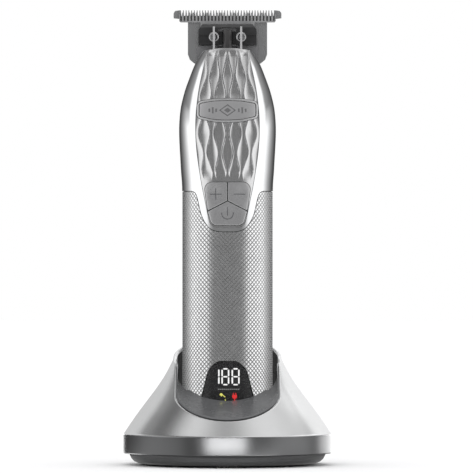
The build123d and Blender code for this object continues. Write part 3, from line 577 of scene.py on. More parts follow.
# ---------------------------------------------------------------- form of the handpiece
# z, half width, reach to the front, reach to the back
STATIONS = np.array([
    (92.0, 18.62, 18.62, 18.62), (104.0, 18.66, 18.66, 18.66), (112.7, 18.68, 18.72, 18.68),
    (116.2, 18.79, 18.85, 18.66), (119.5, 19.06, 18.97, 18.60), (124.5, 19.36, 19.02, 18.40),
    (129.4, 19.64, 18.94, 18.00), (134.4, 19.87, 18.60, 17.30), (137.6, 19.93, 18.25, 16.65),
    (140.9, 19.84, 17.78, 15.80), (144.2, 19.59, 17.10, 14.80), (147.5, 19.15, 16.35, 13.80),
    (150.8, 18.40, 15.45, 12.70), (154.1, 17.50, 14.50, 11.55), (157.4, 16.35, 13.55, 10.45),
    (160.7, 15.10, 12.62, 9.35), (164.0, 13.80, 11.65, 8.30), (167.3, 12.15, 10.60, 7.30),
    (170.9, 10.00, 9.50, 6.40), (174.0, 8.10, 8.50, 5.60)])
half_width, front_reach, back_reach = (natural_spline(STATIONS[:, 0], STATIONS[:, i])
                                       for i in (1, 2, 3))
SEAM = 112.7                # z where the upper housing meets the knurled grip
TONGUE_HALF = 14.9          # half width of the housing's tongue at the seam

# right half of the tongue's outline, from the seam down to the bottom centre
TONGUE_PTS = [
    (TONGUE_HALF, 112.75), (13.4, 112.15), (12.45, 110.4), (11.7, 107.4), (10.75, 103.4),
    (9.3, 100.1), (7.3, 97.6), (4.6, 96.3), (0, 96.05)]
# right half of the fluted panel's outline, from the crown down to the bottom centre
PANEL_PTS = [
    (8.3, 173.6), (8.5, 173.0), (9.0, 168.5), (10.2, 162.3), (11.5, 156.0), (12.5, 149.0),
    (13.05, 142.5), (13.15, 136.5), (12.7, 129.0), (11.45, 120.0), (10.2, 113.0),
    (8.6, 105.6), (7.75, 101.4), (6.9, 99.1), (5.3, 97.9), (3.0, 97.5), (0, 97.45)]
# the three keys together
KEYS_PTS = [(-9.75, 116.2), (9.75, 116.2), (8.05, 104.2), (6.35, 98.55), (-6.35, 98.55),
            (-8.05, 104.2)]
KEYS_RADII = [2.9, 2.9, 6.0, 2.6, 2.6, 6.0]
BADGE_PTS = [
    (-12.45, 149.3), (-6.0, 150.35), (0, 150.6), (6.0, 150.35), (12.45, 149.3),
    (12.55, 142.5), (6.0, 140.95), (0, 140.65), (-6.0, 140.95), (-12.55, 142.5)]
BADGE_RADII = [2.0, 20, 60, 20, 2.0, 2.0, 20, 60, 20, 2.0]
LENS_PTS = [(-4.2, 43.0), (4.2, 43.0), (7.9, 39.6), (12.7, 20.4), (-12.7, 20.4),
            (-7.9, 39.6)]
LENS_RADII = [4.4, 4.4, 7.0, 1.2, 1.2, 7.0]

panel_curve = smooth_line(PANEL_PTS, 400)[::-1]     # bottom centre up the right side
tongue_curve = smooth_line(TONGUE_PTS, 120)


def section(z, off=0.0):
    """Half width, centre y and half depth of the oval section at z, grown by off."""
    width, front, back = half_width(z) + off, front_reach(z) + off, back_reach(z) + off
    return width, (back - front) / 2, (back + front) / 2


def front_y(x, z, off=0.0):
    width, centre, depth = section(z, off)
    return centre - depth * np.sqrt(np.clip(1 - (x / width) ** 2, 0.0004, 1))


def skin(theta, z):
    """Points of the skin, theta from the front towards the right."""
    width, centre, depth = section(z)
    return np.stack([width * np.sin(theta), centre - depth * np.cos(theta),
                     z + 0 * theta], -1)


def skin_angle(x, z):
    return np.arcsin(np.clip(x / half_width(z), 0, 0.999))


def panel_x(z):
    """Half width of the fluted panel at z."""
    return np.interp(z, panel_curve[:, 1], panel_curve[:, 0])


def crown_z(x):
    """Height of the housing's arched top."""
    return 171.35 - x * x / 105.0


# ---------------------------------------------------------------- upper housing
PANEL_GAP = 0.03            # between the housing and the panel's outline
FRONT_COLS = 14             # columns from the panel to the tongue's side
BACK_COLS = 60              # columns from there round to the back
WALL_ROWS = 110
WALL_TOP = 171.5
TONGUE_ROWS = 90


def housing_wall():
    """Right half of the wall above the seam, from the panel's edge round to the back."""
    side_angle = math.asin(TONGUE_HALF / float(half_width(SEAM)))

    def column_angle(z, c):
        edge = skin_angle(panel_x(z) + PANEL_GAP, z)
        side = np.maximum(side_angle, edge + 0.1)
        if c <= FRONT_COLS:
            return edge + (side - edge) * c / FRONT_COLS
        return side + (math.pi - side) * (c - FRONT_COLS) / BACK_COLS

    height = WALL_TOP - SEAM
    level = SEAM + height * (np.arange(WALL_ROWS + 1) / WALL_ROWS)
    columns = []
    for c in range(FRONT_COLS + BACK_COLS + 1):
        top = crown_z(skin(column_angle(level[-1], c), level[-1])[0])
        z = SEAM + (level - SEAM) * (top - SEAM) / height
        columns.append(skin(column_angle(z, c), z))
    return np.stack(columns, 1)


def housing_tongue():
    """Right half of the tongue round the keys, from the panel's edge outwards."""
    below = panel_curve[panel_curve[:, 1] <= SEAM]
    inner = np.vstack([[float(panel_x(SEAM)), SEAM], below[::-1]])
    inner = resample(inner, TONGUE_ROWS + 1)
    outer = tongue_curve.copy()
    outer[0] = (TONGUE_HALF, SEAM)
    outer[:, 1] = np.minimum(outer[:, 1], SEAM)
    outer = resample(outer, TONGUE_ROWS + 1)
    inner[:, 0] += PANEL_GAP * (inner[:, 0] > 0.05)
    a0, a1 = (skin_angle(line[:, 0], line[:, 1])[:, None] for line in (inner, outer))
    z0, z1 = inner[:, 1:], outer[:, 1:]
    f = np.arange(FRONT_COLS + 1) / FRONT_COLS
    return skin(a0 + (a1 - a0) * f, z0 + (z1 - z0) * f)


def build_housing():
    verts, faces = both_sides(housing_wall())
    more_verts, more_faces = both_sides(housing_tongue(), base=len(verts), flip=True)
    ob = obj_from("upper_housing_shell", verts + more_verts, faces + more_faces, [chrome],
                  sharp=40)
    # join the patches and make sure the open skin faces outwards before it gets thickness
    bm = bmesh.new()
    bm.from_mesh(ob.data)
    bmesh.ops.remove_doubles(bm, verts=bm.verts, dist=3e-6)
    bm.normal_update()
    outward = 0
    for face in bm.faces:
        centre = face.calc_center_median()
        outward += face.normal.dot(Vector((centre.x, centre.y, 0))) > 0
    if outward < len(bm.faces) / 2:
        bmesh.ops.reverse_faces(bm, faces=bm.faces)
    bm.to_mesh(ob.data)
    bm.free()

    wall = ob.modifiers.new("s", "SOLIDIFY")
    wall.thickness = 1.5 * MM
    wall.offset = -1
    wall.use_even_offset = False
    bake_modifiers(ob, sharp=50)
    # the back of the top is cut away
    cut(ob, prism(rectangle(-40, 164.2, 40, 190), 1.5, 40), sharp=50)
    edge = ob.modifiers.new("e", "BEVEL")
    edge.width = 0.30 * MM
    edge.segments = 3
    edge.limit_method = "ANGLE"
    edge.angle_limit = math.radians(60)
    bake_modifiers(ob, sharp=50)
    fit(ob, "handpiece", "chrome", "upper_housing")


build_housing()

# ---------------------------------------------------------------- fluted panel
RIDGE_FIRST = 0.1225        # ridge places as shares of the panel's half width
RIDGE_PITCH = 0.245
RIDGE_SWAY = 0.066
SWAY_PERIOD = 15.9          # length of one wave of the ridges along z
SWAY_PHASE = 160.0
# stops across one flute, closer together at its edges
FLUTE_STOPS = [0, .028, .06, .10, .15, .22, .31, .41, .5, .59, .69, .78, .85, .90, .94,
               .972, 1.0]
FLUTES = 9


def ridge_places(z):
    """Shares of the half width where the flutes begin and end at z."""
    wave = np.cos(2 * math.pi * (z - SWAY_PHASE) / SWAY_PERIOD)
    right = [RIDGE_FIRST + RIDGE_PITCH * i + RIDGE_SWAY * (-1) ** i * wave for i in range(4)]
    return [-1.0] + [-v for v in reversed(right)] + right + [1.0]


def flute_row(z):
    """One row of points across the panel."""
    half = max(0.02, float(panel_x(z)) - 0.16)
    ridges = ridge_places(z)
    # flutes run out to nothing at the bottom and at the crown
    fade = smoothstep((z - 116.4) / 7.0) * smoothstep((170.6 - z) / 2.6)
    places, depths = [], []
    for i in range(FLUTES):
        last = i == FLUTES - 1
        gap = ridges[i + 1] - ridges[i]
        depth = 0.72 * (gap / 0.377) ** 1.35
        for f in FLUTE_STOPS if last else FLUTE_STOPS[:-1]:
            # a small bead runs along each ridge but not along the panel's sides
            from_ridge = min(f if i else 9, 9 if last else 1 - f) * gap * half
            bead = 0.28 * math.exp(-(from_ridge / 0.16) ** 2)
            places.append(ridges[i] + gap * f)
            depths.append(depth * (1 - (2 * f - 1) ** 2) ** 0.9 - bead)
    x = np.array(places) * half
    level = np.full_like(x, z)
    y = front_y(x, level) + 0.10 + np.array(depths) * fade
    return np.stack([x, y, level], 1)


def build_panel():
    bottom = 97.5 + 1.6 * (1 - np.cos(np.linspace(0, math.pi / 2, 14)))
    levels = np.concatenate([bottom, np.arange(99.35, 171.6, 0.24)])
    front = np.array([flute_row(z) for z in levels])
    front[:, :, 2] = np.minimum(front[:, :, 2], crown_z(front[-1, :, 0]))
    back = front.copy()
    back[:, :, 1] = front_y(front[:, :, 0], front[:, :, 2]) + 2.0
    rows, cols = front.shape[:2]
    n = rows * cols
    faces = grid_faces(rows, cols) + grid_faces(rows, cols, base=n, flip=True)
    rim = [r * cols for r in range(rows)]
    rim += [(rows - 1) * cols + c for c in range(1, cols)]
    rim += [r * cols + cols - 1 for r in range(rows - 2, -1, -1)]
    rim += list(range(cols - 2, 0, -1))
    faces += [(a, b, b + n, a + n) for a, b in zip(rim, rim[1:] + rim[:1])]
    verts = np.concatenate([front.reshape(-1, 3), back.reshape(-1, 3)])
    ob = obj_from("relief_inlay", verts, faces, [panel_mt], sharp=24)
    cut(ob, prism(rounded(KEYS_PTS, KEYS_RADII, 0.17, 0.2), -30, -8), sharp=24)
    cut(ob, prism(rounded(BADGE_PTS, BADGE_RADII, 0.16, 0.3), -30, -8), sharp=24)
    fit(ob, "handpiece", "dark_chrome", "relief_panel")


build_panel()

# ---------------------------------------------------------------- badge
BADGE_Z = 145.65            # height of the motif's middle
# start x and half height of the upright bars beside the motif
BADGE_BARS = [(4.3, 0.7), (5.7, 1.25), (7.1, 0.7)]
BAR_WIDTH = 0.7


def lozenge(half_x, half_z):
    return subdivide([(half_x, BADGE_Z), (0, BADGE_Z + half_z), (-half_x, BADGE_Z),
                      (0, BADGE_Z - half_z)], 0.3)


def build_badge():
    outer = rounded(BADGE_PTS, BADGE_RADII, 0.0, 0.35)
    opening = rounded(BADGE_PTS, BADGE_RADII, -0.82, 0.35)
    rim = plate("badge_rim", outer, lambda x, z: front_y(x, z, 0.50), badge_rim_mt,
                edge=0.28, depth=1.5, grid=0.6, holes=[opening[::-1]])
    fit(rim, "handpiece", "brushed_metal", "badge_plate")
    face = plate("badge_face", rounded(BADGE_PTS, BADGE_RADII, -1.02, 0.35),
                 lambda x, z: front_y(x, z, 0.40), badge_mt, edge=0.16, depth=1.1, grid=0.6)
    fit(face, "handpiece", "brushed_metal")

    bars = []
    for side in (-1, 1):
        for x0, half in BADGE_BARS:
            bar = rectangle(side * x0, BADGE_Z - half, side * (x0 + BAR_WIDTH),
                            BADGE_Z + half)
            bars.append(subdivide(bar if side > 0 else bar[::-1], 0.3))

    def lift(x, z):
        return front_y(x, z, 0.46)

    sizes = dict(edge=0.06, depth=0.3, grid=0.4)
    motif("badge_motif", [lozenge(1.5, 1.05)] + bars, lift, motif_mt, **sizes)
    border = plate("badge_motif_frame", lozenge(3.5, 2.5), lift, motif_mt, **sizes,
                   holes=[lozenge(2.75, 1.95)[::-1]], steps=3)
    fit(border, "handpiece", "brushed_metal")


build_badge()

# ---------------------------------------------------------------- keys
SLIT = 0.14                 # half width of the slit between plus and minus
SLIT_SLOPE = 4.6 / 9.0      # fall of the slits over the power key, left and right of the middle
SLIT_APEX = 108.55
SLIT_HALF = SLIT * 1.1      # half the height of those slits
DISH_RADIUS = 3.4
DISH_DEPTH = 0.45
STROKE = 0.17               # half width of the symbols' straight strokes
SIGN_HALF = 2.4             # half length of the plus and minus strokes


def key_lift(cx, cz):
    """Front skin of a key with a hollow round (cx, cz)."""
    def lift(x, z):
        q = ((x - cx) / DISH_RADIUS) ** 2 + ((z - cz) / DISH_RADIUS) ** 2
        return front_y(x, z, 0.30) + DISH_DEPTH * np.exp(-q * 1.3)
    return lift


def sign_outlines(cx, cz, plus):
    bars = [rectangle(cx - SIGN_HALF, cz - STROKE, cx + SIGN_HALF, cz + STROKE)]
    if plus:
        for side in (-1, 1):
            z0, z1 = sorted((cz + side * STROKE, cz + side * SIGN_HALF))
            bars.append(rectangle(cx - STROKE, z0, cx + STROKE, z1))
    return [subdivide(bar, 0.2) for bar in bars]


def power_outlines(cz):
    """An arc open at the top and a stroke through the gap."""
    a = np.linspace(math.radians(172), math.radians(368), 48)
    arc = [np.stack([r * np.cos(b), cz + r * np.sin(b)], 1)
           for r, b in ((2.55, a), (2.22, a[::-1]))]
    stroke = rectangle(-STROKE, cz - 0.9, STROKE, cz + 2.5)
    return [np.concatenate(arc), subdivide(stroke, 0.2)]


def build_keys():
    keys = rounded(KEYS_PTS, KEYS_RADII, 0.0, 0.2)
    plus = clip_half(keys, 1, 0, -SLIT)
    plus = clip_half(plus, SLIT_SLOPE, -1, -(SLIT_APEX + SLIT_HALF))
    minus = plus[::-1] * np.array([-1, 1])
    power = clip_half(keys, SLIT_SLOPE, 1, SLIT_APEX - SLIT_HALF)
    power = clip_half(power, -SLIT_SLOPE, 1, SLIT_APEX - SLIT_HALF)
    for name, outline, (cx, cz) in (("plus", plus, (-4.85, 111.3)),
                                    ("minus", minus, (4.9, 111.3)),
                                    ("power", power, (0, 103.3))):
        body = f"{name}_key"
        lift = key_lift(cx, cz)
        cap = plate(f"{name}_key_cap", subdivide(outline, 0.22), lift, key_mt, edge=0.34,
                    depth=1.8, grid=0.45)
        fit(cap, body, "button_metal", f"{name}_button")
        if name == "power":
            symbol = power_outlines(cz + 0.2)
        else:
            symbol = sign_outlines(cx, cz, name == "plus")
        motif(f"{name}_key_symbol", symbol, lambda x, z: lift(x, z) - 0.015, ink_mt,
              body, "button_metal", depth=0.06, grid=0.3)


build_keys()

# ---------------------------------------------------------------- knurled sleeve
SLEEVE_R = 18.58
SLEEVE_BORE = 17.4
SLEEVE_Z0, SLEEVE_Z1 = 18.2, 112.42
KNURL_COLS = 130            # half cells round the sleeve
KNURL_ROWS = 104            # half cells up the sleeve
KNURL_LAND = 0.64           # half size of a flat top, as a share of a half cell
KNURL_DEPTH = 0.24


def knurl_mesh():
    """Diamonds with flat tops between crossed valleys, closed by a plain bore."""
    step = (SLEEVE_Z1 - SLEEVE_Z0) / KNURL_ROWS
    verts, faces, known = [], [], {}

    def add(a, r, z):
        angle = 2 * math.pi * a / KNURL_COLS
        verts.append((r * math.sin(angle), -r * math.cos(angle), z))
        return len(verts) - 1

    def valley(a, b, r=SLEEVE_R - KNURL_DEPTH):
        key = (round(a % KNURL_COLS, 3), round(b, 3), r)
        if key not in known:
            known[key] = add(a % KNURL_COLS, r, SLEEVE_Z0 + b * step)
        return known[key]

    def land(a, b):
        return valley(a, b, SLEEVE_R)

    for b in range(KNURL_ROWS + 1):
        for a in range(b % 2, KNURL_COLS, 2):
            # right, left, top and bottom corners of the cell and of its flat top
            right, left = valley(a + 1, b), valley(a - 1, b)
            flat_right, flat_left = land(a + KNURL_LAND, b), land(a - KNURL_LAND, b)
            if b < KNURL_ROWS:
                top, flat_top = valley(a, b + 1), land(a, b + KNURL_LAND)
                faces.append((flat_right, right, top, flat_top))
                faces.append((flat_top, top, left, flat_left))
            if b > 0:
                bottom, flat_bottom = valley(a, b - 1), land(a, b - KNURL_LAND)
                faces.append((flat_left, left, bottom, flat_bottom))
                faces.append((flat_bottom, bottom, right, flat_right))
            if 0 < b < KNURL_ROWS:
                faces.append((flat_right, flat_top, flat_left, flat_bottom))
            elif b == 0:
                faces.append((flat_right, flat_top, flat_left))
            else:
                faces.append((flat_right, flat_left, flat_bottom))

    # the end rings have three points for each cell; both rows have the same parity,
    # so the bore closes one to one
    bores = []
    for b in (0, KNURL_ROWS):
        upper = b > 0
        rim, places = [], []
        for a in range(0, KNURL_COLS, 2):
            places += [a - 1, a - KNURL_LAND, a + KNURL_LAND]
            rim += [valley(a - 1, b), land(a - KNURL_LAND, b), land(a + KNURL_LAND, b)]
        z = SLEEVE_Z0 + b * step + (0.33 if upper else 0)
        bore = [add(a, SLEEVE_BORE, z) for a in places]
        for i in range(len(rim)):
            j = (i + 1) % len(rim)
            if upper:
                faces.append((rim[i], rim[j], bore[j], bore[i]))
            else:
                faces.append((bore[i], bore[j], rim[j], rim[i]))
        bores.append(bore)
    low, high = bores
    for i in range(len(low)):
        j = (i + 1) % len(low)
        faces.append((low[i], high[i], high[j], low[j]))
    return verts, faces


def build_sleeve():
    verts, faces = knurl_mesh()
    ob = obj_from("grip_sleeve", verts, faces, [sleeve_mt, valley_shade_mt, chassis_mt], sharp=12)
    for face in ob.data.polygons:
        x, y, z = face.center
        r = (x ** 2 + y ** 2) ** 0.5
        if z > (SLEEVE_Z1 + 0.02) * MM:
            face.material_index = 2             # top end: black chassis finish as painted shade in the seam under the housing
        elif r > (SLEEVE_R - 0.04) * MM or r < (SLEEVE_BORE + 0.05) * MM:
            face.material_index = 0             # flat tops and bore
        else:
            face.material_index = 1             # valleys, darker in colour as painted shade
    left = (tongue_curve[:-1] * np.array([-1, 1]))[::-1]
    over_seam = [(-TONGUE_HALF, 116.0), (TONGUE_HALF, 116.0)]
    tongue = np.concatenate([tongue_curve, left, over_seam])
    cut(ob, prism(grown(subdivide(tongue, 0.3), 0.26), -30, -5), sharp=12)
    cut(ob, prism(rounded(LENS_PTS, LENS_RADII, 0.10, 0.25), -30, -5), sharp=12)
    fit(ob, "handpiece", "knurled_metal", "knurled_sleeve")


build_sleeve()

# ---------------------------------------------------------------- display
DISPLAY_R = 18.42
DIGIT_Z0, DIGIT_Z1 = 33.3, 40.0
DIGIT_MID = (DIGIT_Z0 + DIGIT_Z1) / 2
ONE_X = -3.55                               # leading one
DIGIT_SIDES = ((-2.2, 0.45), (1.95, 4.65))  # left and right segments of two full digits
UPRIGHT_WIDTH = 0.62
LEVEL_WIDTH = 0.58
MARK_COUNT = 11                             # row of marks below the digits
MARK_SIZE = (0.52, 0.37)
MARK_Z = 31.35
OIL_SHAPES = [
    [(-3.35, 29.35), (-2.45, 28.55), (-1.75, 29.35), (-2.65, 30.05)],
    [(-1.95, 29.0), (-1.05, 28.15), (-0.85, 28.45), (-1.75, 29.2)],
    [(-1.10, 27.15), (-0.85, 27.6), (-0.62, 27.15), (-0.68, 26.88), (-1.02, 26.88)]]
PLUG_SHAPES = [
    [(1.95, 28.1), (2.45, 27.65), (3.35, 27.65), (3.85, 28.1), (3.85, 29.2), (1.95, 29.2)],
    rectangle(2.25, 29.25, 2.62, 30.05), rectangle(3.18, 29.25, 3.55, 30.05),
    rectangle(2.7, 26.9, 3.1, 27.6)]


def barrel(off):
    """Front of a cylinder round the z axis, off outside the display's radius."""
    def lift(x, z):
        return -np.sqrt(np.clip((DISPLAY_R + off) ** 2 - x ** 2, 1, None)) + 0 * z
    return lift


def segment(x0, z0, x1, z1, width):
    """Bar with pointed ends, a little short of both end points."""
    length = math.hypot(x1 - x0, z1 - z0)
    ux, uz = (x1 - x0) / length, (z1 - z0) / length
    h, gap = width / 2, 0.09
    shape = [(gap, 0), (gap + h, -h), (length - gap - h, -h), (length - gap, 0),
             (length - gap - h, h), (gap + h, h)]
    return subdivide([(x0 + a * ux - b * uz, z0 + a * uz + b * ux) for a, b in shape], 0.3)


def upright_pair(x, inset):
    return [segment(x, DIGIT_Z0 + inset, x, DIGIT_MID, UPRIGHT_WIDTH),
            segment(x, DIGIT_MID, x, DIGIT_Z1 - inset, UPRIGHT_WIDTH)]


def build_display():
    window = plate("display_window", rounded(LENS_PTS, LENS_RADII, 0.0, 0.25), barrel(0.06),
                   glass_mt, edge=0.22, depth=0.42, grid=0.7)
    fit(window, "handpiece", "smoked_glass", "display_lens")
    screen = plate("display_screen", rounded(LENS_PTS, LENS_RADII, -0.02, 0.25),
                   barrel(-0.48), screen_mt, edge=0.0, depth=0.5, grid=0.8)
    fit(screen, "handpiece", "black_plastic")

    digits = upright_pair(ONE_X, 0.25)
    for left, right in DIGIT_SIDES:
        digits += upright_pair(left, 0.3) + upright_pair(right, 0.3)
        for z in (DIGIT_Z0 + 0.12, DIGIT_MID, DIGIT_Z1 - 0.12):
            digits.append(segment(left + 0.25, z, right - 0.25, z, LEVEL_WIDTH))
    width, height = MARK_SIZE
    marks = [subdivide(rectangle(x, MARK_Z, x + width, MARK_Z + height), 0.3)
             for x in np.linspace(-3.9, 4.3, MARK_COUNT)]
    oil = [subdivide(shape, 0.25) for shape in OIL_SHAPES]
    plug = [subdivide(shape, 0.25) for shape in PLUG_SHAPES]
    for name, outlines, finish, slot, node in (
            ("display_digits", digits, white_led, "segment_white", "display_segments"),
            ("display_gauge_marks", marks, grey_led, "segment_grey", "display_gauge"),
            ("display_oil_mark", oil, yellow_led, "icon_yellow", "display_oil_icon"),
            ("display_plug_mark", plug, red_led, "icon_red", "display_plug_icon")):
        motif(name, outlines, barrel(-0.40), finish, slot=slot, nodes=[node])


build_display()

# ---------------------------------------------------------------- stand shell
# radius and z of the shell's outer skin, from the foot up
CONE = np.array([(42.6, 13.05), (36.75, 21.6), (30.95, 29.3), (25.4, 37.5), (22.3, 43.6)])
cone_spline = natural_spline(CONE[:, 1], CONE[:, 0])
SHELL_FOOT = 12.7
INNER_FOOT = 12.9
SHELL_LIP = 0.62            # radius of the rounded rim
SHELL_THICK = 1.25          # thickness at the rim
SHELL_INSET = 1.55          # the inner skin's offset from the outer one
RIM_LIMIT = 60.0


def cone_r(z):
    z = np.asarray(z, float)
    (foot_r, foot_z), (top_r, top_z) = CONE[0], CONE[-1]
    curved = cone_spline(np.clip(z, foot_z, top_z))
    return np.where(z > top_z, top_r, np.where(z < foot_z, foot_r + (foot_z - z) * 1.1,
                                               curved))


def opening_z(x, y):
    """Floor of the front opening in the shell."""
    floor = 26.4 + 4 * (1 - math.sqrt(max(0.0, 1 - (x / 21.45) ** 2)))
    return floor + (0.36 if y < -18.5 else 0.1) * (y + 18.5)


def rim_height(phi):
    """Height at which the shell's outer skin ends, phi from the front."""
    for z in np.arange(13.5, RIM_LIMIT, 0.04):
        r = float(cone_r(z))
        x, y = r * math.sin(phi), -r * math.cos(phi)
        in_opening = abs(x) < 21.4 and y < 0 and z > opening_z(x, y)
        over_collar = z > 44.6 + 0.32 * y and y > -7.6
        if in_opening or over_collar:
            return z
    return RIM_LIMIT


def on_cone(phi, z, off=0.0):
    r = cone_r(z) + off
    return np.stack([r * np.sin(phi), -r * np.cos(phi), z], -1)


def blurred(values, odd):
    """Smoothed run of values, continued past both ends by an odd or even reflection."""
    kernel = np.exp(-np.linspace(-2.2, 2.2, 45) ** 2)
    kernel /= kernel.sum()
    half = len(kernel) // 2
    before, after = values[half:0:-1], values[-2:-2 - half:-1]
    if odd:
        before, after = 2 * values[0] - before, 2 * values[-1] - after
    return np.convolve(np.concatenate([before, values, after]), kernel, "valid")


def unit(vectors):
    return vectors / np.linalg.norm(vectors, axis=1)[:, None]


def build_shell():
    # closer together where the opening meets the collar
    angles = np.unique(np.concatenate([np.linspace(0, math.pi, 361),
                                       np.linspace(0.50, 1.45, 500)]))
    heights = np.array([rim_height(a) for a in angles])
    run = arc_length(on_cone(angles, heights))
    even = np.linspace(0, run[-1], 900)
    # blurring rounds the corner between the opening and the collar
    phi = blurred(np.interp(even, run, angles), odd=True)
    rim_z = blurred(np.interp(even, run, heights), odd=False)
    phi[0], phi[-1] = 0.0, math.pi

    rim = on_cone(phi, rim_z)
    along = unit(np.gradient(rim, axis=0))
    slope = -(cone_r(rim_z + 1.2) - cone_r(rim_z - 1.2)) / 2.4
    normal = unit(np.stack([np.sin(phi), -np.cos(phi), slope], 1))
    up = unit(np.cross(normal, along))
    base = rim - up * SHELL_LIP
    base_phi, base_z = np.arctan2(base[:, 0], -base[:, 1]), base[:, 2]
    base_phi[0], base_phi[-1] = 0.0, math.pi

    def level(f, foot, off=0.0):
        """Points at the share f of the way from the foot to the rim."""
        return on_cone(phi + (base_phi - phi) * f, foot + (base_z - foot) * f, off)

    outer_rows, inner_rows = 56, 10
    rows = [level(i / outer_rows, SHELL_FOOT) for i in range(outer_rows)]
    start = on_cone(base_phi, base_z)
    for a in np.linspace(0, math.pi / 2, 7):
        rows.append(start + up * SHELL_LIP * math.sin(a)
                    - normal * SHELL_LIP * (1 - math.cos(a)))
    rows.append(start + up * SHELL_LIP - normal * SHELL_THICK)
    rows += [level(i / inner_rows, INNER_FOOT, -SHELL_INSET)
             for i in range(inner_rows, -1, -1)]
    grid = np.stack(rows, 1)
    grid[:, :, 2] = np.maximum(grid[:, :, 2], SHELL_FOOT)
    grid[0, :, 0] = grid[-1, :, 0] = 0
    verts, faces = both_sides(grid, wrap_cols=True)
    ob = obj_from("stand_skin", verts, faces, [shell_mt], sharp=50)
    ob.visible_glossy = False           # the lip doesn't mirror in the grip
    fit(ob, "stand", "satin_silver", "stand_shell")
    return ob


shell = build_shell()


# ---------------------------------------------------------------- stand ring
def build_ring():
    """Dark ring under the shell, with a slot through its back."""
    profile = corner_arcs([(40.6, 4.85), (43.1, 4.85), (43.1, 12.62), (40.6, 12.62)],
                          [0.2, 0.55, 0.32, 0.2], segments=6)
    ob = lathe("stand_ring", profile, ring_mt)
    slot = rounded(rectangle(-4.9, 6.4, 4.9, 10.4), [1.6] * 4, step=0.3)
    cut(ob, prism(slot, 30, 50), sharp=50)
    fit(ob, "stand", "polished_dark", "stand_trim_ring")
    return ob


def build_ring_edge():
    """Thin edge on top of the ring, lighter in colour than the ring as a painted highlight."""
    profile = corner_arcs([(42.2, 12.3), (43.12, 12.42), (43.05, 12.78), (42.3, 12.95)],
                          [0.1, 0.12, 0.12, 0.1], segments=4)
    ob = lathe("stand_ring_edge", profile, ring_edge_highlight_mt)
    fit(ob, "stand", "polished_dark")
    return ob


ring = build_ring()
ring_edge = build_ring_edge()

# ---------------------------------------------------------------- floor
scene = bpy.context.scene


def build_floor():
    """White square, 8 m wide."""
    half = 4
    mesh = bpy.data.meshes.new("floor")
    corners = [(-half, -half, 0), (half, -half, 0), (half, half, 0), (-half, half, 0)]
    mesh.from_pydata(corners, [], [(0, 1, 2, 3)])
    floor = bpy.data.objects.new("floor", mesh)
    scene.collection.objects.link(floor)
    paper = bpy.data.materials.new("paper")
    paper.use_nodes = True
    inputs = paper.node_tree.nodes["Principled BSDF"].inputs
    inputs["Base Color"].default_value = (0.90, 0.90, 0.90, 1)
    inputs["Roughness"].default_value = 0.6
    inputs["Specular IOR Level"].default_value = 0.0
    mesh.materials.append(paper)
    floor.visible_glossy = False


build_floor()

# ---------------------------------------------------------------- world
# Brightness by azimuth in degrees: 0 is the camera's side and 180 the far side. The first
# tables hold for left and right alike; SKY_HIGH runs from the left (-) to the right (+).
SKY_FRONT = [(0, .23), (26, .215), (36, .21), (45, .42), (54, 1.05), (66, 1.15), (98, 1.25),
             (104, 1.1)]
SKY_LOW = SKY_FRONT + [(112, .76), (121, .46), (132, .25), (145, .11), (155, .06),
                       (180, .08)]
# what the upright walls mirror when looked down on
SKY_DIP = SKY_FRONT + [(114, .74), (124, .50), (134, .38), (146, .50), (158, .92),
                       (168, 1.0), (180, .62)]
SKY_MID = [(0, .24), (36, .22), (52, .38), (66, .85), (76, 1.15), (90, 1.2), (95, .80),
           (99, .38), (104, .31), (113, .26), (128, .165), (145, .10), (160, .065),
           (180, .06)]
SKY_HIGH = [(-180, 1.1), (-165, 1.05), (-150, .68), (-139, .52), (-130, .41), (-120, .23),
            (-108, .085), (-100, .09), (-90, .21), (-80, .56), (-65, .76), (-50, .70),
            (-37, .57), (-20, .40), (0, .35), (20, .44), (37, .62), (50, .72), (65, .78),
            (85, .74), (100, .64), (108, .61), (116, .80), (124, 1.10), (133, 1.12),
            (145, 1.05), (160, 1.08), (180, 1.0)]
SKY_UNDER = [(0, .95), (48, .95), (78, .22), (180, .12)]
# blends between the tables by elevation in degrees
DIP_BLEND = [(-90, 1), (-13, 1), (-7, 0), (90, 0)]
MID_BLEND = [(-90, 0), (4, 0), (14, 1), (90, 1)]
HIGH_BLEND = [(-90, 0), (29, 0), (40, 1), (90, 1)]
UNDER_BLEND = [(-90, 1), (-34, 1), (-14, 0), (90, 0)]
DIFFUSE_LIGHT = (1.25, 1.25, 1.26, 1)       # what matt surfaces receive
BACKDROP = (1.0, 1.0, 1.0, 1)               # what the camera sees


def grey_ramp(tree, source, stops):
    node = tree.nodes.new("ShaderNodeValToRGB")
    elements = node.color_ramp.elements
    while len(elements) > 1:
        elements.remove(elements[-1])
    for i, (position, value) in enumerate(stops):
        element = elements.new(position) if i else elements[0]
        element.position = position
        element.color = (value, value, value, 1)
    tree.links.new(source, node.inputs["Fac"])
    return node.outputs["Color"]


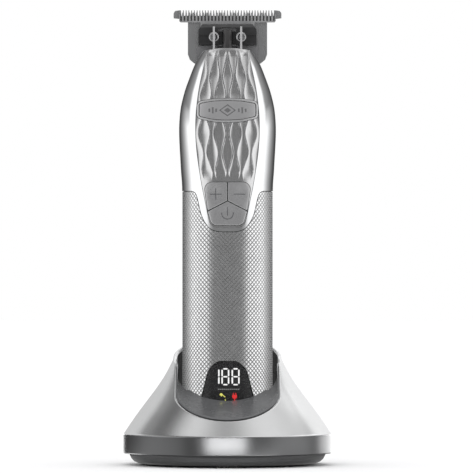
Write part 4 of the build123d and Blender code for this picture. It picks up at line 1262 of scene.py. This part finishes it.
def build_world():
    world = bpy.data.worlds.new("studio")
    scene.world = world
    world.use_nodes = True
    tree = world.node_tree
    new, link = tree.nodes.new, tree.links.new
    tree.nodes.clear()
    output = new("ShaderNodeOutputWorld")
    background = new("ShaderNodeBackground")
    link(background.outputs[0], output.inputs[0])
    split = new("ShaderNodeSeparateXYZ")
    link(new("ShaderNodeTexCoord").outputs["Generated"], split.inputs[0])

    toward_front = math_node(tree, "MULTIPLY", split.outputs["Y"], -1.0)
    azimuth = math_node(tree, "ARCTAN2", split.outputs["X"], toward_front)
    turn = math_node(tree, "ADD", math_node(tree, "DIVIDE", azimuth, 2 * math.pi), 0.5)
    side = math_node(tree, "DIVIDE", math_node(tree, "ABSOLUTE", azimuth), math.pi)
    elevation = math_node(tree, "ARCSINE", split.outputs["Z"])

    def by_side(stops):
        return grey_ramp(tree, side, [(a / 180, v) for a, v in stops])

    def by_elevation(stops):
        share = math_node(tree, "ADD", math_node(tree, "DIVIDE", elevation, math.pi), 0.5)
        return grey_ramp(tree, share, [(0.5 + a / 180, v) for a, v in stops])

    low, dip = by_side(SKY_LOW), by_side(SKY_DIP)
    sky = mix_node(tree, by_elevation(DIP_BLEND), low, dip)
    mid = by_side(SKY_MID)
    high = grey_ramp(tree, turn, [((a + 180) / 360, v) for a, v in SKY_HIGH])
    rise = by_elevation(HIGH_BLEND)
    sky = mix_node(tree, by_elevation(MID_BLEND), sky, mid)
    sky = mix_node(tree, rise, sky, high)
    sky = mix_node(tree, by_elevation(UNDER_BLEND), sky, by_side(SKY_UNDER))
    ray = new("ShaderNodeLightPath").outputs
    sky = mix_node(tree, ray["Is Diffuse Ray"], sky, DIFFUSE_LIGHT)
    sky = mix_node(tree, ray["Is Camera Ray"], sky, BACKDROP)
    link(sky, background.inputs["Color"])


build_world()

# ---------------------------------------------------------------- lights (metres)
LIGHT_DISTANCE = 1.6
LIGHT_AIM = Vector((0, 0, 0.03))


def linked_collection(name, objects):
    collection = bpy.data.collections.new(name)
    for ob in objects:
        collection.objects.link(ob)
    return collection


def strip(name, azimuth, width, height, z, radiance, receivers, blockers=()):
    """Area light that reaches the receivers only; azimuth in degrees, + to the right.

    If there are blockers, nothing else shades it.
    """
    a = math.radians(azimuth)
    light = bpy.data.lights.new(name, "AREA")
    light.shape = "RECTANGLE"
    light.size = width
    light.size_y = height
    light.energy = radiance * math.pi * width * height
    light.spread = math.pi
    ob = bpy.data.objects.new(name, light)
    scene.collection.objects.link(ob)
    ob.location = (LIGHT_DISTANCE * math.sin(a), -LIGHT_DISTANCE * math.cos(a), z)
    ob.rotation_euler = (LIGHT_AIM - ob.location).to_track_quat("-Z", "Y").to_euler()
    ob.visible_camera = False
    linking = ob.light_linking
    linking.receiver_collection = linked_collection(name + "_on", receivers)
    if blockers:
        linking.blocker_collection = linked_collection(name + "_shade", blockers)


# name, azimuth, width, z, radiance
for name, azimuth, width, z, radiance in (
        ("ring_front", -2, 1.25, 0.03, 11.5),
        ("ring_fill", 65, 1.9, 0.03, 0.45),
        ("ring_left", -171, 0.7, 0.03, 2.6),
        ("ring_right", 155, 2.3, 0.03, 3.0)):
    strip(name, azimuth, width, height=0.5, z=z, radiance=radiance,
          receivers=[ring, ring_edge])
# what the ring mirrors when looked down on; the floor doesn't shade these
for name, azimuth, width in (("ring_low_right", 38, 1.0), ("ring_low_back", -128, 1.2)):
    strip(name, azimuth, width, height=0.5, z=-0.6, radiance=4.5, receivers=[ring],
          blockers=[ring_edge])
for name, azimuth, width, radiance in (("shell_back_left", -156, 1.4, 0.55),
                                       ("shell_back_right", 154, 1.5, 0.85)):
    strip(name, azimuth, width, height=1.15, z=0.5, radiance=radiance, receivers=[shell])

# ---------------------------------------------------------------- camera and render
CAMERA_DISTANCE = 2370
CAMERA_Z = 94
VIEW_WIDTH = 194.9          # width seen at the z axis
SENSOR = 36


def build_camera():
    lens = bpy.data.cameras.new("camera")
    camera = bpy.data.objects.new("camera", lens)
    scene.collection.objects.link(camera)
    camera.location = (0, -CAMERA_DISTANCE * MM, CAMERA_Z * MM)
    camera.rotation_euler = (math.pi / 2, 0, 0)
    lens.sensor_width = SENSOR
    lens.lens = SENSOR * CAMERA_DISTANCE / VIEW_WIDTH
    lens.shift_x = 0.01902748           # share of the view's width
    lens.clip_end = 20
    scene.camera = camera


build_camera()
scene.cycles.caustics_reflective = False
scene.cycles.caustics_refractive = False
scene.cycles.sample_clamp_indirect = 2.5
scene.view_settings.view_transform = "Standard"
scene.view_settings.look = "None"
scene.view_settings.exposure = 0
scene.view_settings.gamma = 1
